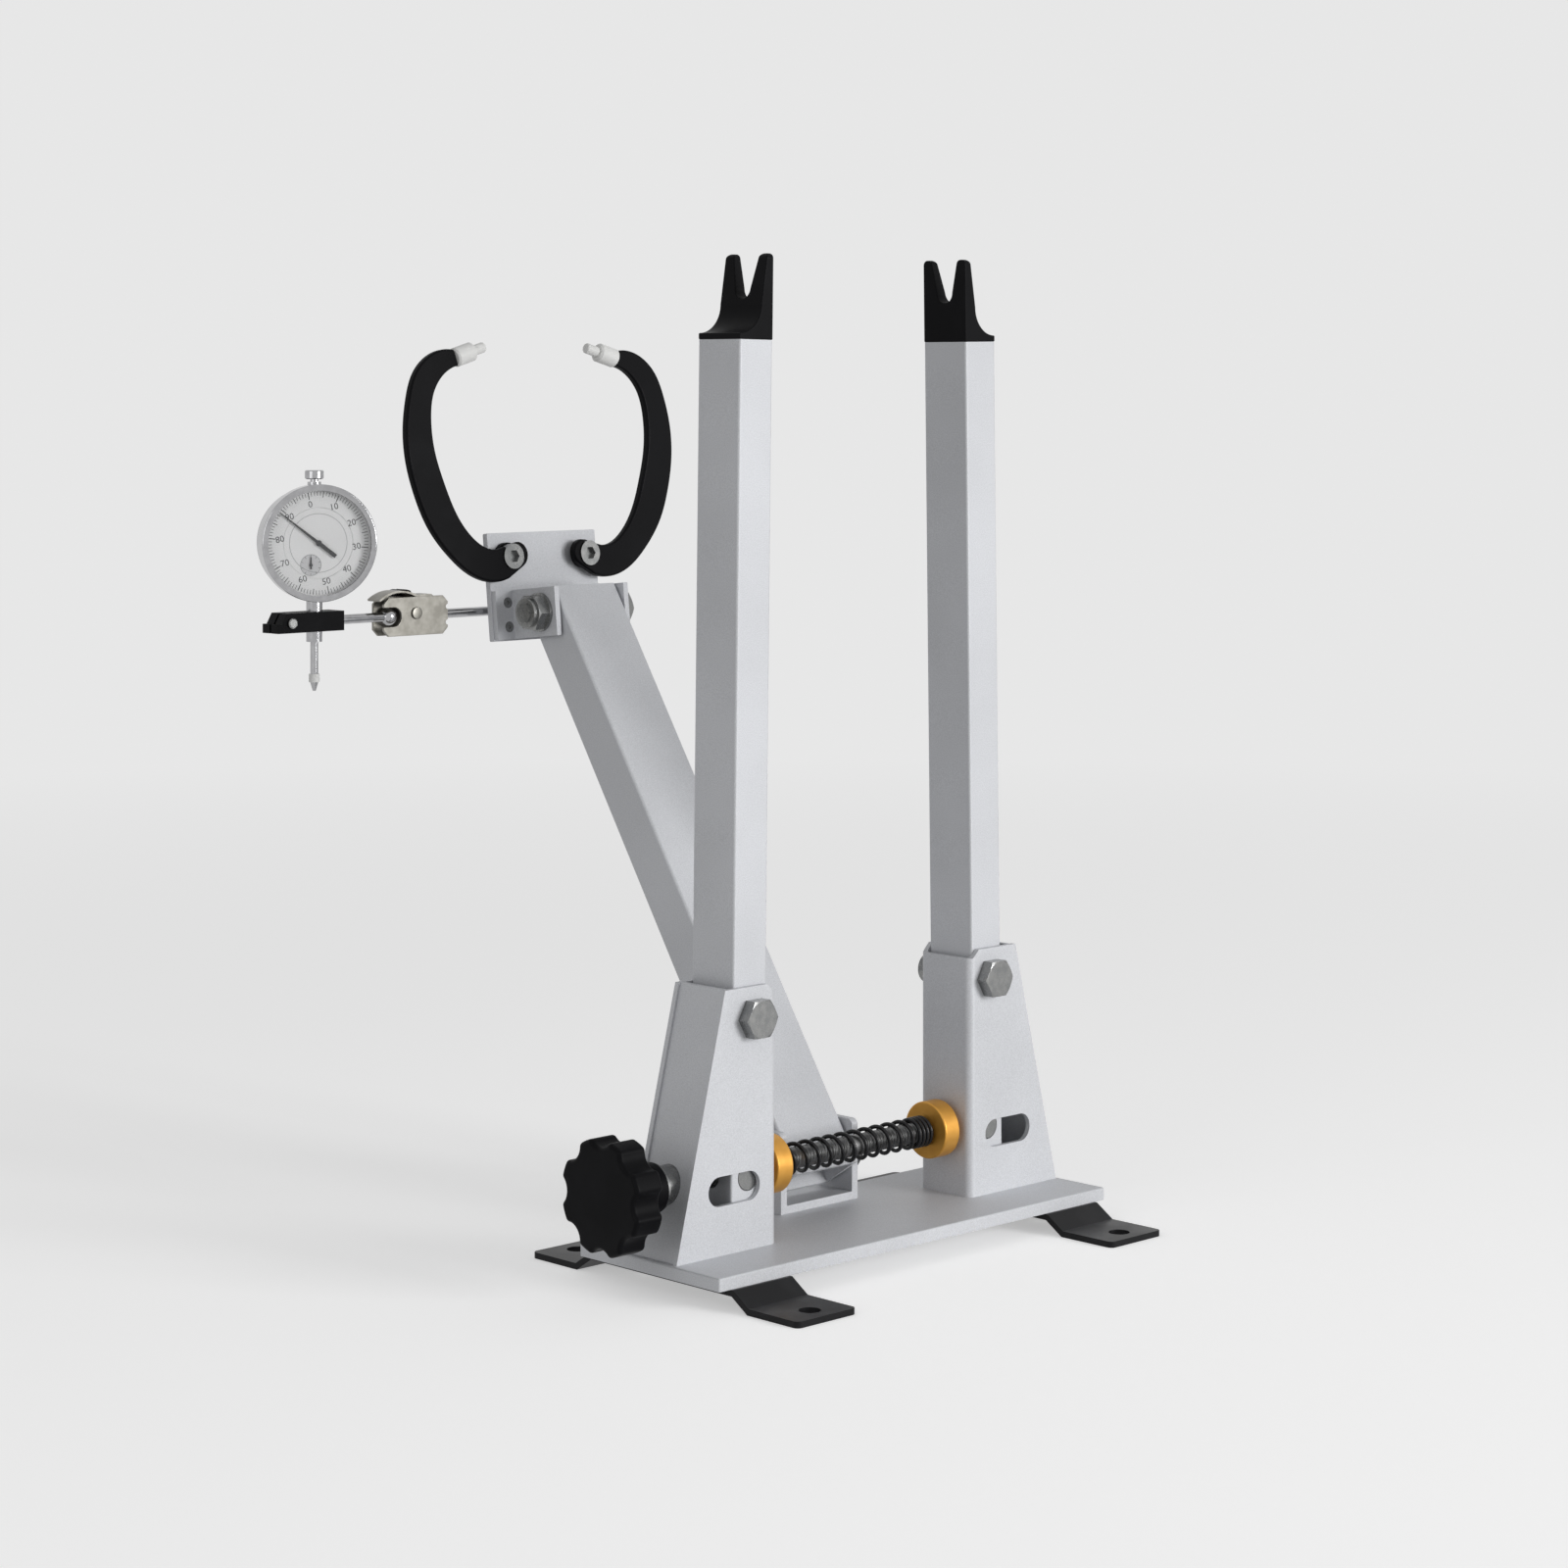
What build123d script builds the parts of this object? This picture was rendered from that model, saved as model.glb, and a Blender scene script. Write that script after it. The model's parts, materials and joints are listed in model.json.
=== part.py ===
from build123d import *
from math import atan2, cos, degrees, hypot, pi, radians, sin, sqrt, tan
import os

# Bicycle wheel truing stand, in millimetres.
# The origin is the centre of the four foot holes, on the floor. +Z is up, X runs along the wheel's axle
# from the left upright to the right one, and +Y points to the back, where the caliper arm leans.
# Pieces that come in mirrored pairs are made on the right and mirrored for the left.

os.makedirs("parts", exist_ok=True)

# Shared clearances
overrun = 5.0
sliding_gap = 0.3
running_gap = 0.1
bolt_gap = 0.2

# Base plate
plate_length = 260.0
plate_width = 94.0
plate_thickness = 6.0
plate_corner = 1.0
plate_chamfer = 0.5

# Feet
foot_sheet = 3.0
foot_lift = 6.5
foot_width = 37.0
foot_spacing = 209.0
foot_length = 178.6
ear_length = 32.0
foot_slope_run = 10.0
foot_hole_radius = 5.0
foot_hole_inset = 11.3
foot_corner = 3.0

# Screws from below
base_screw_radius = 3.0
base_screw_length = 8.0
base_screw_head_radius = 5.25
base_screw_head_height = 2.8
base_screw_socket = 4.0
base_screw_socket_depth = 1.6
foot_screw_spacing = 56.0
tower_screw_spacing = 12.0
tower_screw_inset = 11.0
bracket_screw_spacing = 22.0

# Towers
web_x = 65.0
tower_sheet = 2.5
tower_height = 120.0
tower_foot_reach = 63.0
tower_top_reach = 33.0
tower_bend = 4.0
tower_tab = 20.0
web_drop = 4.0
cover_recess = 1.0
cover_sheet = 2.5
slot_length = 32.2
slot_height = 13.5
slot_start = 11.2
slot_level = 29.2

# Uprights
tube_x = 21.0
tube_y = 28.0
tube_wall = 2.0
tube_corner = 1.2
upright_tilt = 0.8
pivot_x = 80.0
pivot_drop = 14.5
upright_above = 310.5
upright_foot_gap = 12.0

# Dropout forks
fork_height = 40.0
fork_band = 3.0
fork_thickness = 4.0
fork_draft = 3.4
fork_tenon = 16.0
axle_radius = 5.0
axle_slot_floor = 19.0
axle_slot_mouth = 17.0
prong_round = 2.4

# Hex bolts and lock nuts
bolt_radius = 5.0
hex_flats = 17.0
hex_height = 6.4
nut_hex_height = 6.0
nut_collar_height = 2.4
nut_collar_radius = 7.4
bolt_tail = 1.0
washer_radius = 10.0
washer_thickness = 1.6

# Drive screw
screw_level = 32.5
rod_radius = 5.0
rod_right_end = 93.0
thrust_bush_radius = 9.0
thrust_bush_outer = 126.0
thrust_bush_length = 10.5
thrust_washer_radius = 11.0
thrust_washer_thickness = 1.5
ring_radius = 8.5
ring_thickness = 2.5
thread_gap = 0.2

# Star knob
knob_radius = 26.5
knob_thickness = 16.0
knob_lobes = 8
knob_scallop_radius = 7.5
knob_scallop_depth = 3.6
knob_round = 2.0
knob_lobe_round = 2.5
knob_neck_radius = 11.5
knob_neck_length = 10.0
knob_cone_length = 6.0
knob_cone_radius = 19.0
knob_bore_depth = 22.0

# Barrel nuts, collars and spring
nut_radius = 6.0
nut_bore_gap = 0.45
collar_radius = 13.8
collar_thickness = 10.0
collar_inner_x = 51.4
collar_round = 0.8
sleeve_radius = 7.0
sleeve_gap = 0.7
spring_wire = 2.0
spring_radius = 6.6
spring_end_turns = 1
spring_open_turns = 11
spring_dense_turns = 4
spring_dense_pitch = 2.6
spring_blend_turns = 0.25

# Caliper arm and its bracket
bracket_inner = 44.0
bracket_sheet = 4.0
bracket_height = 38.9
bracket_depth = 22.5
bracket_front = 21.0
bracket_corner = 3.0
arm_pivot_level = 22.0
arm_x = 41.5
arm_thickness = 25.0
arm_wall = 2.0
arm_corner = 1.5
arm_lean = 33.0
arm_span = 306.0
arm_past_pivot = 11.0
arm_past_head = 8.0

# Caliper head
head_lean = 6.0
head_width = 73.4
head_sheet = 3.4
head_above = 42.4
head_below = 13.3
head_setback = 24.0
head_bracket_sheet = 3.0
head_bracket_height = 25.0
head_bracket_front = 12.5
head_bracket_reach = 36.0
head_bracket_bend = 2.5
bracket_bolt_radius = 1.5
bracket_bolt_head = 2.8
bracket_bolt_sink = 1.3
bracket_bolt_socket = 2.0
bracket_bolt_spacing = 12.5
bracket_bolt_x = 28.2

# Calipers
caliper_x = 26.0
caliper_level = 29.8
caliper_thickness = 4.5
caliper_reach = 64.0
caliper_rise = 100.0
caliper_edge_round = 1.2
caliper_boss_radius = 7.4
caliper_boss_height = 2.5
caliper_screw_radius = 4.0
caliper_head_radius = 6.5
caliper_head_height = 4.6
caliper_head_recess = 4.0
caliper_socket_flats = 6.0
caliper_socket_depth = 2.8
feeler_angle = 16.0
feeler_collar_radius = 5.0
feeler_collar_length = 12.6
feeler_collar_taper = 0.9
feeler_pin_radius = 2.75
feeler_pin_length = 8.2
feeler_pin_round = 1.0
feeler_tenon_radius = 1.5
feeler_tenon_length = 8.0

# Outline of a caliper, from its screw outwards and up, as shares of its reach and rise
caliper_end_share = (0.450, 1.0275)
caliper_end_half_share = 0.043
caliper_inner_shares = (
    (0.590, 0.936), (0.694, 0.848), (0.739, 0.715), (0.725, 0.554),
    (0.647, 0.382), (0.536, 0.218), (0.405, 0.110), (0.270, 0.052), (0.140, 0.041),
)
caliper_heel_shares = ((-0.070, 0.074), (-0.162, 0.010), (-0.110, -0.052))
caliper_outer_shares = (
    (0.042, -0.110), (0.197, -0.128), (0.422, -0.088), (0.620, 0.009), (0.811, 0.157),
    (0.925, 0.321), (0.994, 0.504), (0.998, 0.670), (0.952, 0.821), (0.866, 0.953), (0.719, 1.039),
)

# Gauge rod and its clamp on the head
support_rod_radius = 2.4
rod_behind_plate = 4.2
rod_level = 2.8
rod_inner_x = 4.0
rod_clamp_length = 20.0
rod_clamp_height = 15.0
rod_clamp_depth = 10.0
rod_clamp_round = 1.5
rod_clamp_inset = 10.5
clamp_screw_radius = 2.5
clamp_screw_head_radius = 5.5
clamp_screw_head_height = 6.0

# Swivel clamp
swivel_right_x = 63.5
swivel_length = 41.0
swivel_height = 19.5
swivel_sheet = 1.6
swivel_inner_gap = 6.8
swivel_chamfer = 3.2
ball_radius = 4.5
small_ball_radius = 3.3
ball_inset = 6.4
ball_hole_radius = 3.1
ball_notch_radius = 4.9
swivel_nick_radius = 1.3
swivel_nick_level = 4.0
swivel_screw_radius = 2.0
swivel_screw_rise = 1.5
swivel_rivet_radius = 3.0
swivel_rivet_height = 0.9
swivel_knob_radius = 11.5
swivel_knob_length = 7.5
swivel_knob_flutes = 12
swivel_flute_radius = 1.2
leaf_sheet = 1.0
leaf_length = 33.0
leaf_seat = 10.0
leaf_rise = 2.2
leaf_drop = 1.8
leaf_peak_share = 0.55

# Stem holder
holder_right_x = 130.4
holder_length = 40.2
holder_height = 9.7
holder_depth = 13.0
holder_step = 2.4
holder_step_height = 4.5
holder_slope = 3.0
holder_slit = 1.2
holder_screw_x = 162.4
holder_screw_radius = 1.5
holder_screw_head_radius = 2.6
holder_screw_head_height = 1.6
stem_rod_bite = 8.0
stem_rod_spigot = 2.0

# Dial gauge
stem_x = 144.0
gauge_yaw = 22.8
gauge_rise = 38.9
case_radius = 27.0
case_wall = 1.5
case_back = 9.0
case_front = 7.6
stem_radius = 4.0
stem_length = 22.0
neck_radius = 3.4
neck_height = 3.0
bezel_radius = 29.0
bezel_back = 4.3
bezel_front = 12.2
bezel_lip = 1.4
bezel_lip_radius = 25.9
bezel_round = 0.8
crystal_thickness = 1.1
dial_thickness = 0.6
dial_split_radius = 17.4
dial_split_gap = 0.15
movement_thickness = 1.4
pillar_radius = 1.5
pillar_circle = 15.0
pillar_angles = (30, 150, 330)
small_dial_x = -3.8
small_dial_y = -10.8
arbor_radius = 0.6
pointer_sheet = 0.3
pointer_length = 24.5
pointer_tail = 10.8
pointer_width = 1.5
pointer_tail_width = 2.0
pointer_end_width = 0.4
pointer_hub_radius = 1.5
pointer_angle = 142.0
small_pointer_length = 4.0
small_pointer_width = 0.8
small_pointer_angle = 90.0
wheel_thickness = 0.6
wheel_radius = 10.35
pinion_radius = 1.0
rack_pinion_radius = 1.6
rack_pinion_length = 3.0
plunger_radius = 2.0
plunger_length = 65.0
tip_collar_radius = 2.7
tip_collar_length = 4.0
tip_core_radius = 1.2
tip_point_length = 4.3
tip_point_radius = 2.1
tip_point_end = 0.8
cap_radius = 4.7
cap_height = 4.4
cap_gap = 1.3
cap_bore_depth = 2.2

# Places that follow from the sizes above
plate_bottom = foot_lift + foot_sheet
plate_top = plate_bottom + plate_thickness
tower_gap = tube_y + 2 * sliding_gap
tower_depth = tower_gap + 2 * tower_sheet
tower_slant = atan2(tower_foot_reach - tower_top_reach, tower_height)
pivot_level = tower_height - pivot_drop
upright_below = pivot_level - upright_foot_gap
pivot_z = plate_top + pivot_level
screw_z = plate_top + screw_level
nut_drop = pivot_level - screw_level
nut_x = pivot_x + nut_drop * tan(radians(upright_tilt))


def save(name, piece):
    """Labels a finished piece and writes it under its node's name."""
    piece.part.label = name
    export_step(piece.part, f"parts/{name}.step")


def save_pair(name, right_piece):
    """Writes a right-hand piece and its mirrored left-hand twin."""
    save(f"right_{name}", right_piece)
    with BuildPart() as left_piece:
        mirror(right_piece.part, about=Plane.YZ)
    save(f"left_{name}", left_piece)


def facing_x(x, y, z):
    """Plane at a point whose normal is +X, with its own X along +Y."""
    return Plane(origin=(x, y, z), x_dir=(0, 1, 0), z_dir=(1, 0, 0))


def facing_back(x, y, z):
    """Plane at a point whose normal is +Y."""
    return Plane(origin=(x, y, z), x_dir=(-1, 0, 0), z_dir=(0, 1, 0))


def facing_front(x, y, z):
    """Plane at a point whose normal is -Y, with its own X along +X."""
    return Plane(origin=(x, y, z), x_dir=(1, 0, 0), z_dir=(0, -1, 0))


def at(plane, x, y, z=0):
    """The same plane with its origin moved to a point in its own coordinates."""
    return Plane(origin=plane.from_local_coords((x, y, z)), x_dir=plane.x_dir, z_dir=plane.z_dir)


def disc(plane, radius, length, mode=Mode.ADD):
    """Round bar or bore that starts on a plane and runs along its normal."""
    with BuildSketch(plane) as section:
        Circle(radius)
    extrude(section.sketch, amount=length, mode=mode)


def ring(plane, radius, bore, length):
    """Round bar with a bore through it."""
    with BuildSketch(plane) as section:
        Circle(radius)
        Circle(bore, mode=Mode.SUBTRACT)
    extrude(section.sketch, amount=length)


def hexagon(plane, flats, length, mode=Mode.ADD):
    """Six-sided bar or socket, by its size across flats."""
    with BuildSketch(plane) as section:
        RegularPolygon(radius=flats / 2, side_count=6, major_radius=False)
    extrude(section.sketch, amount=length, mode=mode)


def bolt_head(plane, flats, height):
    """Hex head that stands on a plane, with its outer corners turned off at 30 degrees."""
    hexagon(plane, flats, height)
    flat_radius = flats / 2
    corner_radius = flat_radius / cos(pi / 6)
    lowered = (corner_radius - flat_radius) * tan(pi / 6)
    side = Plane(origin=plane.origin, x_dir=plane.x_dir, z_dir=-plane.y_dir)
    with BuildSketch(side) as corner:
        with BuildLine():
            Polyline(
                (flat_radius, height),
                (corner_radius + sliding_gap, height),
                (corner_radius + sliding_gap, height - lowered),
                close=True,
            )
        make_face()
    revolve(corner.sketch, axis=Axis(plane.origin, plane.z_dir), mode=Mode.SUBTRACT)


def hex_bolt(plane, grip):
    """Hex bolt: its head stands on the plane, and its shank runs back through the grip and nut."""
    bolt_head(plane, hex_flats, hex_height)
    reach = grip + nut_hex_height + nut_collar_height + bolt_tail
    disc(Plane(origin=plane.origin, x_dir=plane.x_dir, z_dir=-plane.z_dir), bolt_radius, reach)


def lock_nut(plane):
    """Hex lock nut that stands on the plane, with its round insert collar outward."""
    bolt_head(plane, hex_flats, nut_hex_height)
    disc(plane.offset(nut_hex_height), nut_collar_radius, nut_collar_height)
    disc(plane, bolt_radius, nut_hex_height + nut_collar_height, mode=Mode.SUBTRACT)


# Base plate, with blind holes for the foot screws and through holes for the others
foot_screw_places = [
    (sx * foot_spacing / 2, sy * foot_screw_spacing / 2) for sx in (-1, 1) for sy in (-1, 1)
]
tower_screw_places = [
    (sx * (web_x + tower_screw_inset), sy * tower_screw_spacing / 2) for sx in (-1, 1) for sy in (-1, 1)
]
arm_pivot_y = bracket_front + bracket_depth / 2
bracket_screw_places = [(sx * bracket_screw_spacing / 2, arm_pivot_y) for sx in (-1, 1)]

with BuildPart() as base_plate:
    with BuildSketch(Plane.XY.offset(plate_bottom)):
        RectangleRounded(plate_length, plate_width, plate_corner)
    extrude(amount=plate_thickness)
    chamfer(base_plate.faces().sort_by(Axis.Z)[-1].edges(), length=plate_chamfer)
    with BuildSketch(Plane.XY.offset(plate_bottom)):
        with Locations(*foot_screw_places):
            Circle(base_screw_radius)
    extrude(amount=base_screw_length - foot_sheet, mode=Mode.SUBTRACT)
    with BuildSketch(Plane.XY.offset(plate_bottom)):
        with Locations(*(tower_screw_places + bracket_screw_places)):
            Circle(base_screw_radius)
    extrude(amount=plate_thickness, mode=Mode.SUBTRACT)
save("base_plate", base_plate)

# Feet: one strap under each end of the plate, folded down to an ear at the front and the back
slope_angle = atan2(foot_lift, foot_slope_run)
fold_shift = foot_sheet * tan(slope_angle / 2)
ear_y = foot_length / 2 - ear_length
foot_hole_y = foot_length / 2 - foot_hole_inset
slope_top_y = ear_y - foot_slope_run
half_strap = [
    (slope_top_y, foot_lift),
    (ear_y, 0),
    (foot_length / 2, 0),
    (foot_length / 2, foot_sheet),
    (ear_y + fold_shift, foot_sheet),
    (slope_top_y + fold_shift, plate_bottom),
]

with BuildPart() as right_foot:
    with BuildSketch(facing_x((foot_spacing - foot_width) / 2, 0, 0)):
        with BuildLine():
            Polyline(*half_strap, *[(-y, z) for y, z in reversed(half_strap)], close=True)
        make_face()
    extrude(amount=foot_width)
    ear_corners = right_foot.edges().filter_by(Axis.Z).filter_by(lambda e: e.center().Z < foot_sheet)
    fillet(ear_corners, radius=foot_corner)
    with Locations(*[(foot_spacing / 2, sy * foot_hole_y, foot_sheet) for sy in (-1, 1)]):
        Hole(foot_hole_radius, foot_sheet)
    with Locations(*[(foot_spacing / 2, sy * foot_screw_spacing / 2, plate_bottom) for sy in (-1, 1)]):
        Hole(base_screw_radius, foot_sheet)
save_pair("foot", right_foot)

# Ten equal screws from below, their heads under the straps or under the plate
with BuildPart() as base_screws:
    for seat, places in (
        (foot_lift, foot_screw_places),
        (plate_bottom, tower_screw_places + bracket_screw_places),
    ):
        with BuildSketch(Plane.XY.offset(seat - base_screw_head_height)):
            with Locations(*places):
                Circle(base_screw_head_radius)
        extrude(amount=base_screw_head_height)
        with BuildSketch(Plane.XY.offset(seat)):
            with Locations(*places):
                Circle(base_screw_radius)
        extrude(amount=base_screw_length)
        with BuildSketch(Plane.XY.offset(seat - base_screw_head_height)):
            with Locations(*places):
                RegularPolygon(radius=base_screw_socket / 2, side_count=6, major_radius=False)
        extrude(amount=base_screw_socket_depth, mode=Mode.SUBTRACT)
save("base_screws", base_screws)

# Towers: a folded U with a slanted outer edge, a tab under it and a slot in each flange
tower_profile = [
    (web_x, plate_top),
    (web_x + tower_foot_reach, plate_top),
    (web_x + tower_top_reach, plate_top + tower_height),
    (web_x + tower_bend + tower_sheet, plate_top + tower_height),
    (web_x + tower_sheet, plate_top + tower_height - web_drop),
    (web_x, plate_top + tower_height - web_drop),
]

with BuildPart() as right_tower:
    with BuildSketch(Plane.XY.offset(plate_top)) as channel:
        with Locations((web_x, 0)):
            Rectangle(tower_foot_reach, tower_depth, align=(Align.MIN, Align.CENTER))
        fillet(channel.vertices().group_by(Axis.X)[0], radius=tower_bend)
        with Locations((web_x + tower_sheet, 0)):
            RectangleRounded(
                2 * tower_foot_reach, tower_gap, tower_bend - tower_sheet,
                align=(Align.MIN, Align.CENTER), mode=Mode.SUBTRACT,
            )
    extrude(amount=tower_height)
    with BuildSketch(Plane.XY.offset(plate_top)):
        with Locations((web_x + tower_sheet, 0)):
            Rectangle(tower_tab, tower_gap - 2 * running_gap, align=(Align.MIN, Align.CENTER))
    extrude(amount=tower_sheet)
    with BuildSketch(facing_front(0, 0, 0)):
        with BuildLine():
            Polyline(*tower_profile, close=True)
        make_face()
    extrude(amount=tower_depth, both=True, mode=Mode.INTERSECT)
    with BuildSketch(facing_front(0, 0, 0)):
        with Locations((web_x + slot_start + slot_length / 2, plate_top + slot_level)):
            SlotOverall(slot_length, slot_height)
        with Locations((pivot_x, pivot_z)):
            Circle(bolt_radius)
    extrude(amount=tower_depth, both=True, mode=Mode.SUBTRACT)
    disc(
        facing_x(web_x - overrun, 0, screw_z), sleeve_radius + sleeve_gap, overrun + tower_sheet,
        mode=Mode.SUBTRACT,
    )
    with BuildSketch(Plane.XY.offset(plate_top)):
        with Locations(*[place for place in tower_screw_places if place[0] > 0]):
            Circle(base_screw_radius)
    extrude(amount=tower_sheet, mode=Mode.SUBTRACT)
save_pair("tower", right_tower)

# Cover plates: slanted sheets between the flanges, just inside their outer edges
cover_x_step = cover_sheet / cos(tower_slant)


def cover_line(level):
    """X of a cover plate's outer face at a height over the base plate."""
    return web_x + tower_foot_reach - cover_recess / cos(tower_slant) - level * tan(tower_slant)


cover_profile = [
    (cover_line(0), plate_top),
    (cover_line(tower_height), plate_top + tower_height),
    (cover_line(tower_height) - cover_x_step, plate_top + tower_height),
    (cover_line(0) - cover_x_step, plate_top),
]

with BuildPart() as right_cover_plate:
    with BuildSketch(facing_front(0, 0, 0)):
        with BuildLine():
            Polyline(*cover_profile, close=True)
        make_face()
    extrude(amount=tower_gap / 2, both=True)
save("right_cover_plate", right_cover_plate)

with BuildPart() as left_cover_plate:
    mirror(right_cover_plate.part, about=Plane.YZ)
    disc(
        facing_x(-thrust_bush_outer, 0, screw_z), thrust_bush_radius, 4 * thrust_bush_length,
        mode=Mode.SUBTRACT,
    )
save("left_cover_plate", left_cover_plate)

with BuildPart() as thrust_bush:
    ring(
        facing_x(-thrust_bush_outer, 0, screw_z), thrust_bush_radius, rod_radius + running_gap,
        thrust_bush_length,
    )
save("thrust_bush", thrust_bush)

# Uprights: tubes that tilt on the tower bolts, with cross holes for the bolt, nut and screw
tilt = radians(upright_tilt)
tilt_x = (cos(tilt), 0, sin(tilt))
tilt_up = (-sin(tilt), 0, cos(tilt))
upright_frame = Plane(origin=(pivot_x, 0, pivot_z), x_dir=tilt_x, z_dir=tilt_up)

with BuildPart() as right_upright:
    with BuildSketch(upright_frame.offset(-upright_below)):
        RectangleRounded(tube_x, tube_y, tube_corner)
        Rectangle(tube_x - 2 * tube_wall, tube_y - 2 * tube_wall, mode=Mode.SUBTRACT)
    extrude(amount=upright_below + upright_above)
    with BuildSketch(facing_front(0, 0, 0)):
        with Locations((pivot_x, pivot_z)):
            Circle(bolt_radius + bolt_gap)
        with Locations((nut_x, screw_z)):
            Circle(nut_radius + nut_bore_gap)
    extrude(amount=tube_y, both=True, mode=Mode.SUBTRACT)
    disc(facing_x(web_x, 0, screw_z), sleeve_radius + sleeve_gap, nut_x - web_x, mode=Mode.SUBTRACT)
    disc(facing_x(nut_x, 0, screw_z), rod_radius + sleeve_gap, tube_x, mode=Mode.SUBTRACT)
save_pair("upright", right_upright)

# Dropout forks: a band on the tube's end, flared into a forked plate on the inner side
upright_top = upright_frame.offset(upright_above)
fork_side = Plane(origin=upright_top.origin, x_dir=tilt_x, z_dir=(0, -1, 0))
fork_front = Plane(origin=upright_top.origin, x_dir=(0, 1, 0), z_dir=tilt_x)
flare_radius = tube_x - fork_thickness - fork_draft
axle_level = axle_slot_floor + axle_radius

with BuildPart() as right_dropout:
    with BuildSketch(fork_side) as fork_profile:
        with BuildLine():
            Line((-tube_x / 2, 0), (tube_x / 2, 0))
            Line((tube_x / 2, 0), (tube_x / 2, fork_band))
            CenterArc((tube_x / 2, fork_band + flare_radius), flare_radius, 270, -90)
            Polyline(
                (-tube_x / 2 + fork_thickness + fork_draft, fork_band + flare_radius),
                (-tube_x / 2 + fork_thickness, fork_height),
                (-tube_x / 2, fork_height),
                (-tube_x / 2, 0),
            )
        make_face()
        fillet(fork_profile.vertices().group_by(Axis.Y)[-1].sort_by(Axis.X)[-1], radius=prong_round)
    extrude(amount=tube_y / 2, both=True)
    with BuildSketch(fork_front) as fork_outline:
        with BuildLine():
            Polyline(
                (-tube_y / 2, 0),
                (tube_y / 2, 0),
                (tube_y / 2, fork_height),
                (axle_slot_mouth / 2, fork_height),
                (axle_radius, axle_level),
                (-axle_radius, axle_level),
                (-axle_slot_mouth / 2, fork_height),
                (-tube_y / 2, fork_height),
                close=True,
            )
        make_face()
        fillet(fork_outline.vertices().group_by(Axis.Y)[-1], radius=prong_round)
        with Locations((0, axle_level)):
            Circle(axle_radius, mode=Mode.SUBTRACT)
    extrude(amount=tube_x, both=True, mode=Mode.INTERSECT)
    with BuildSketch(upright_top):
        Rectangle(
            tube_x - 2 * tube_wall - 2 * running_gap,
            tube_y - 2 * tube_wall - 2 * running_gap,
        )
    extrude(amount=-fork_tenon)
save_pair("dropout", right_dropout)

# Hex bolts and lock nuts that the uprights turn on
with BuildPart() as tower_pivot_bolts:
    for side in (-1, 1):
        hex_bolt(facing_front(side * pivot_x, -tower_depth / 2, pivot_z), tower_depth)
save("tower_pivot_bolts", tower_pivot_bolts)

with BuildPart() as tower_pivot_nuts:
    for side in (-1, 1):
        lock_nut(facing_back(side * pivot_x, tower_depth / 2, pivot_z))
save("tower_pivot_nuts", tower_pivot_nuts)

# Barrel nuts: cross dowels in the uprights that the drive screw is threaded through
with BuildPart() as right_barrel_nut:
    disc(facing_back(nut_x, -tube_y / 2, screw_z), nut_radius, tube_y)
    disc(
        facing_x(nut_x - nut_radius - overrun, 0, screw_z), rod_radius + thread_gap,
        2 * (nut_radius + overrun), mode=Mode.SUBTRACT,
    )
save_pair("barrel_nut", right_barrel_nut)

# Collars: spring seats with a sleeve that reaches through the tower to the barrel nut
sleeve_end_x = nut_x - sqrt(nut_radius**2 - rod_radius**2)

with BuildPart() as right_collar:
    disc(facing_x(collar_inner_x, 0, screw_z), collar_radius, collar_thickness)
    fillet(right_collar.edges().filter_by(GeomType.CIRCLE), radius=collar_round)
    disc(
        facing_x(collar_inner_x + collar_thickness, 0, screw_z), sleeve_radius,
        sleeve_end_x - collar_inner_x - collar_thickness,
    )
    disc(facing_x(0, 0, screw_z), rod_radius + thread_gap, 2 * nut_x, mode=Mode.SUBTRACT)
    with BuildSketch(facing_front(nut_x, 0, screw_z)):
        Circle(nut_radius + running_gap)
    extrude(amount=tube_y, both=True, mode=Mode.SUBTRACT)
save_pair("collar", right_collar)

# Drive screw with its knob, thrust washer and retaining ring
knob_end_x = -thrust_bush_outer - thrust_washer_thickness - running_gap
rod_left_x = knob_end_x - knob_bore_depth

with BuildPart() as threaded_rod:
    disc(facing_x(rod_left_x, 0, screw_z), rod_radius, rod_right_end - rod_left_x)
    chamfer(threaded_rod.edges().sort_by(Axis.X)[-1], length=plate_chamfer)
save("threaded_rod", threaded_rod)

with BuildPart() as thrust_washer:
    ring(facing_x(knob_end_x, 0, screw_z), thrust_washer_radius, rod_radius, thrust_washer_thickness)
save("thrust_washer", thrust_washer)

with BuildPart() as retaining_ring:
    ring(
        facing_x(-thrust_bush_outer + thrust_bush_length + running_gap, 0, screw_z), ring_radius, rod_radius,
        ring_thickness,
    )
save("retaining_ring", retaining_ring)

knob_back_x = knob_end_x - knob_neck_length - knob_cone_length
knob_front_x = knob_back_x - knob_thickness
scallop_centre = knob_radius + knob_scallop_radius - knob_scallop_depth

with BuildPart() as star_knob:
    with BuildSketch(facing_x(knob_front_x, 0, screw_z)) as star:
        Circle(knob_radius)
        with PolarLocations(scallop_centre, knob_lobes):
            Circle(knob_scallop_radius, mode=Mode.SUBTRACT)
        fillet(star.vertices(), radius=knob_lobe_round)
    extrude(amount=knob_thickness)
    rim = star_knob.faces().sort_by(Axis.X)
    fillet(rim[0].edges() + rim[-1].edges(), radius=knob_round)
    with BuildSketch(facing_x(knob_back_x, 0, screw_z)):
        Circle(knob_cone_radius)
    with BuildSketch(facing_x(knob_back_x + knob_cone_length, 0, screw_z)):
        Circle(knob_neck_radius)
    loft()
    disc(facing_x(knob_back_x + knob_cone_length, 0, screw_z), knob_neck_radius, knob_neck_length)
    disc(facing_x(rod_left_x, 0, screw_z), rod_radius, knob_bore_depth, mode=Mode.SUBTRACT)
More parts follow.
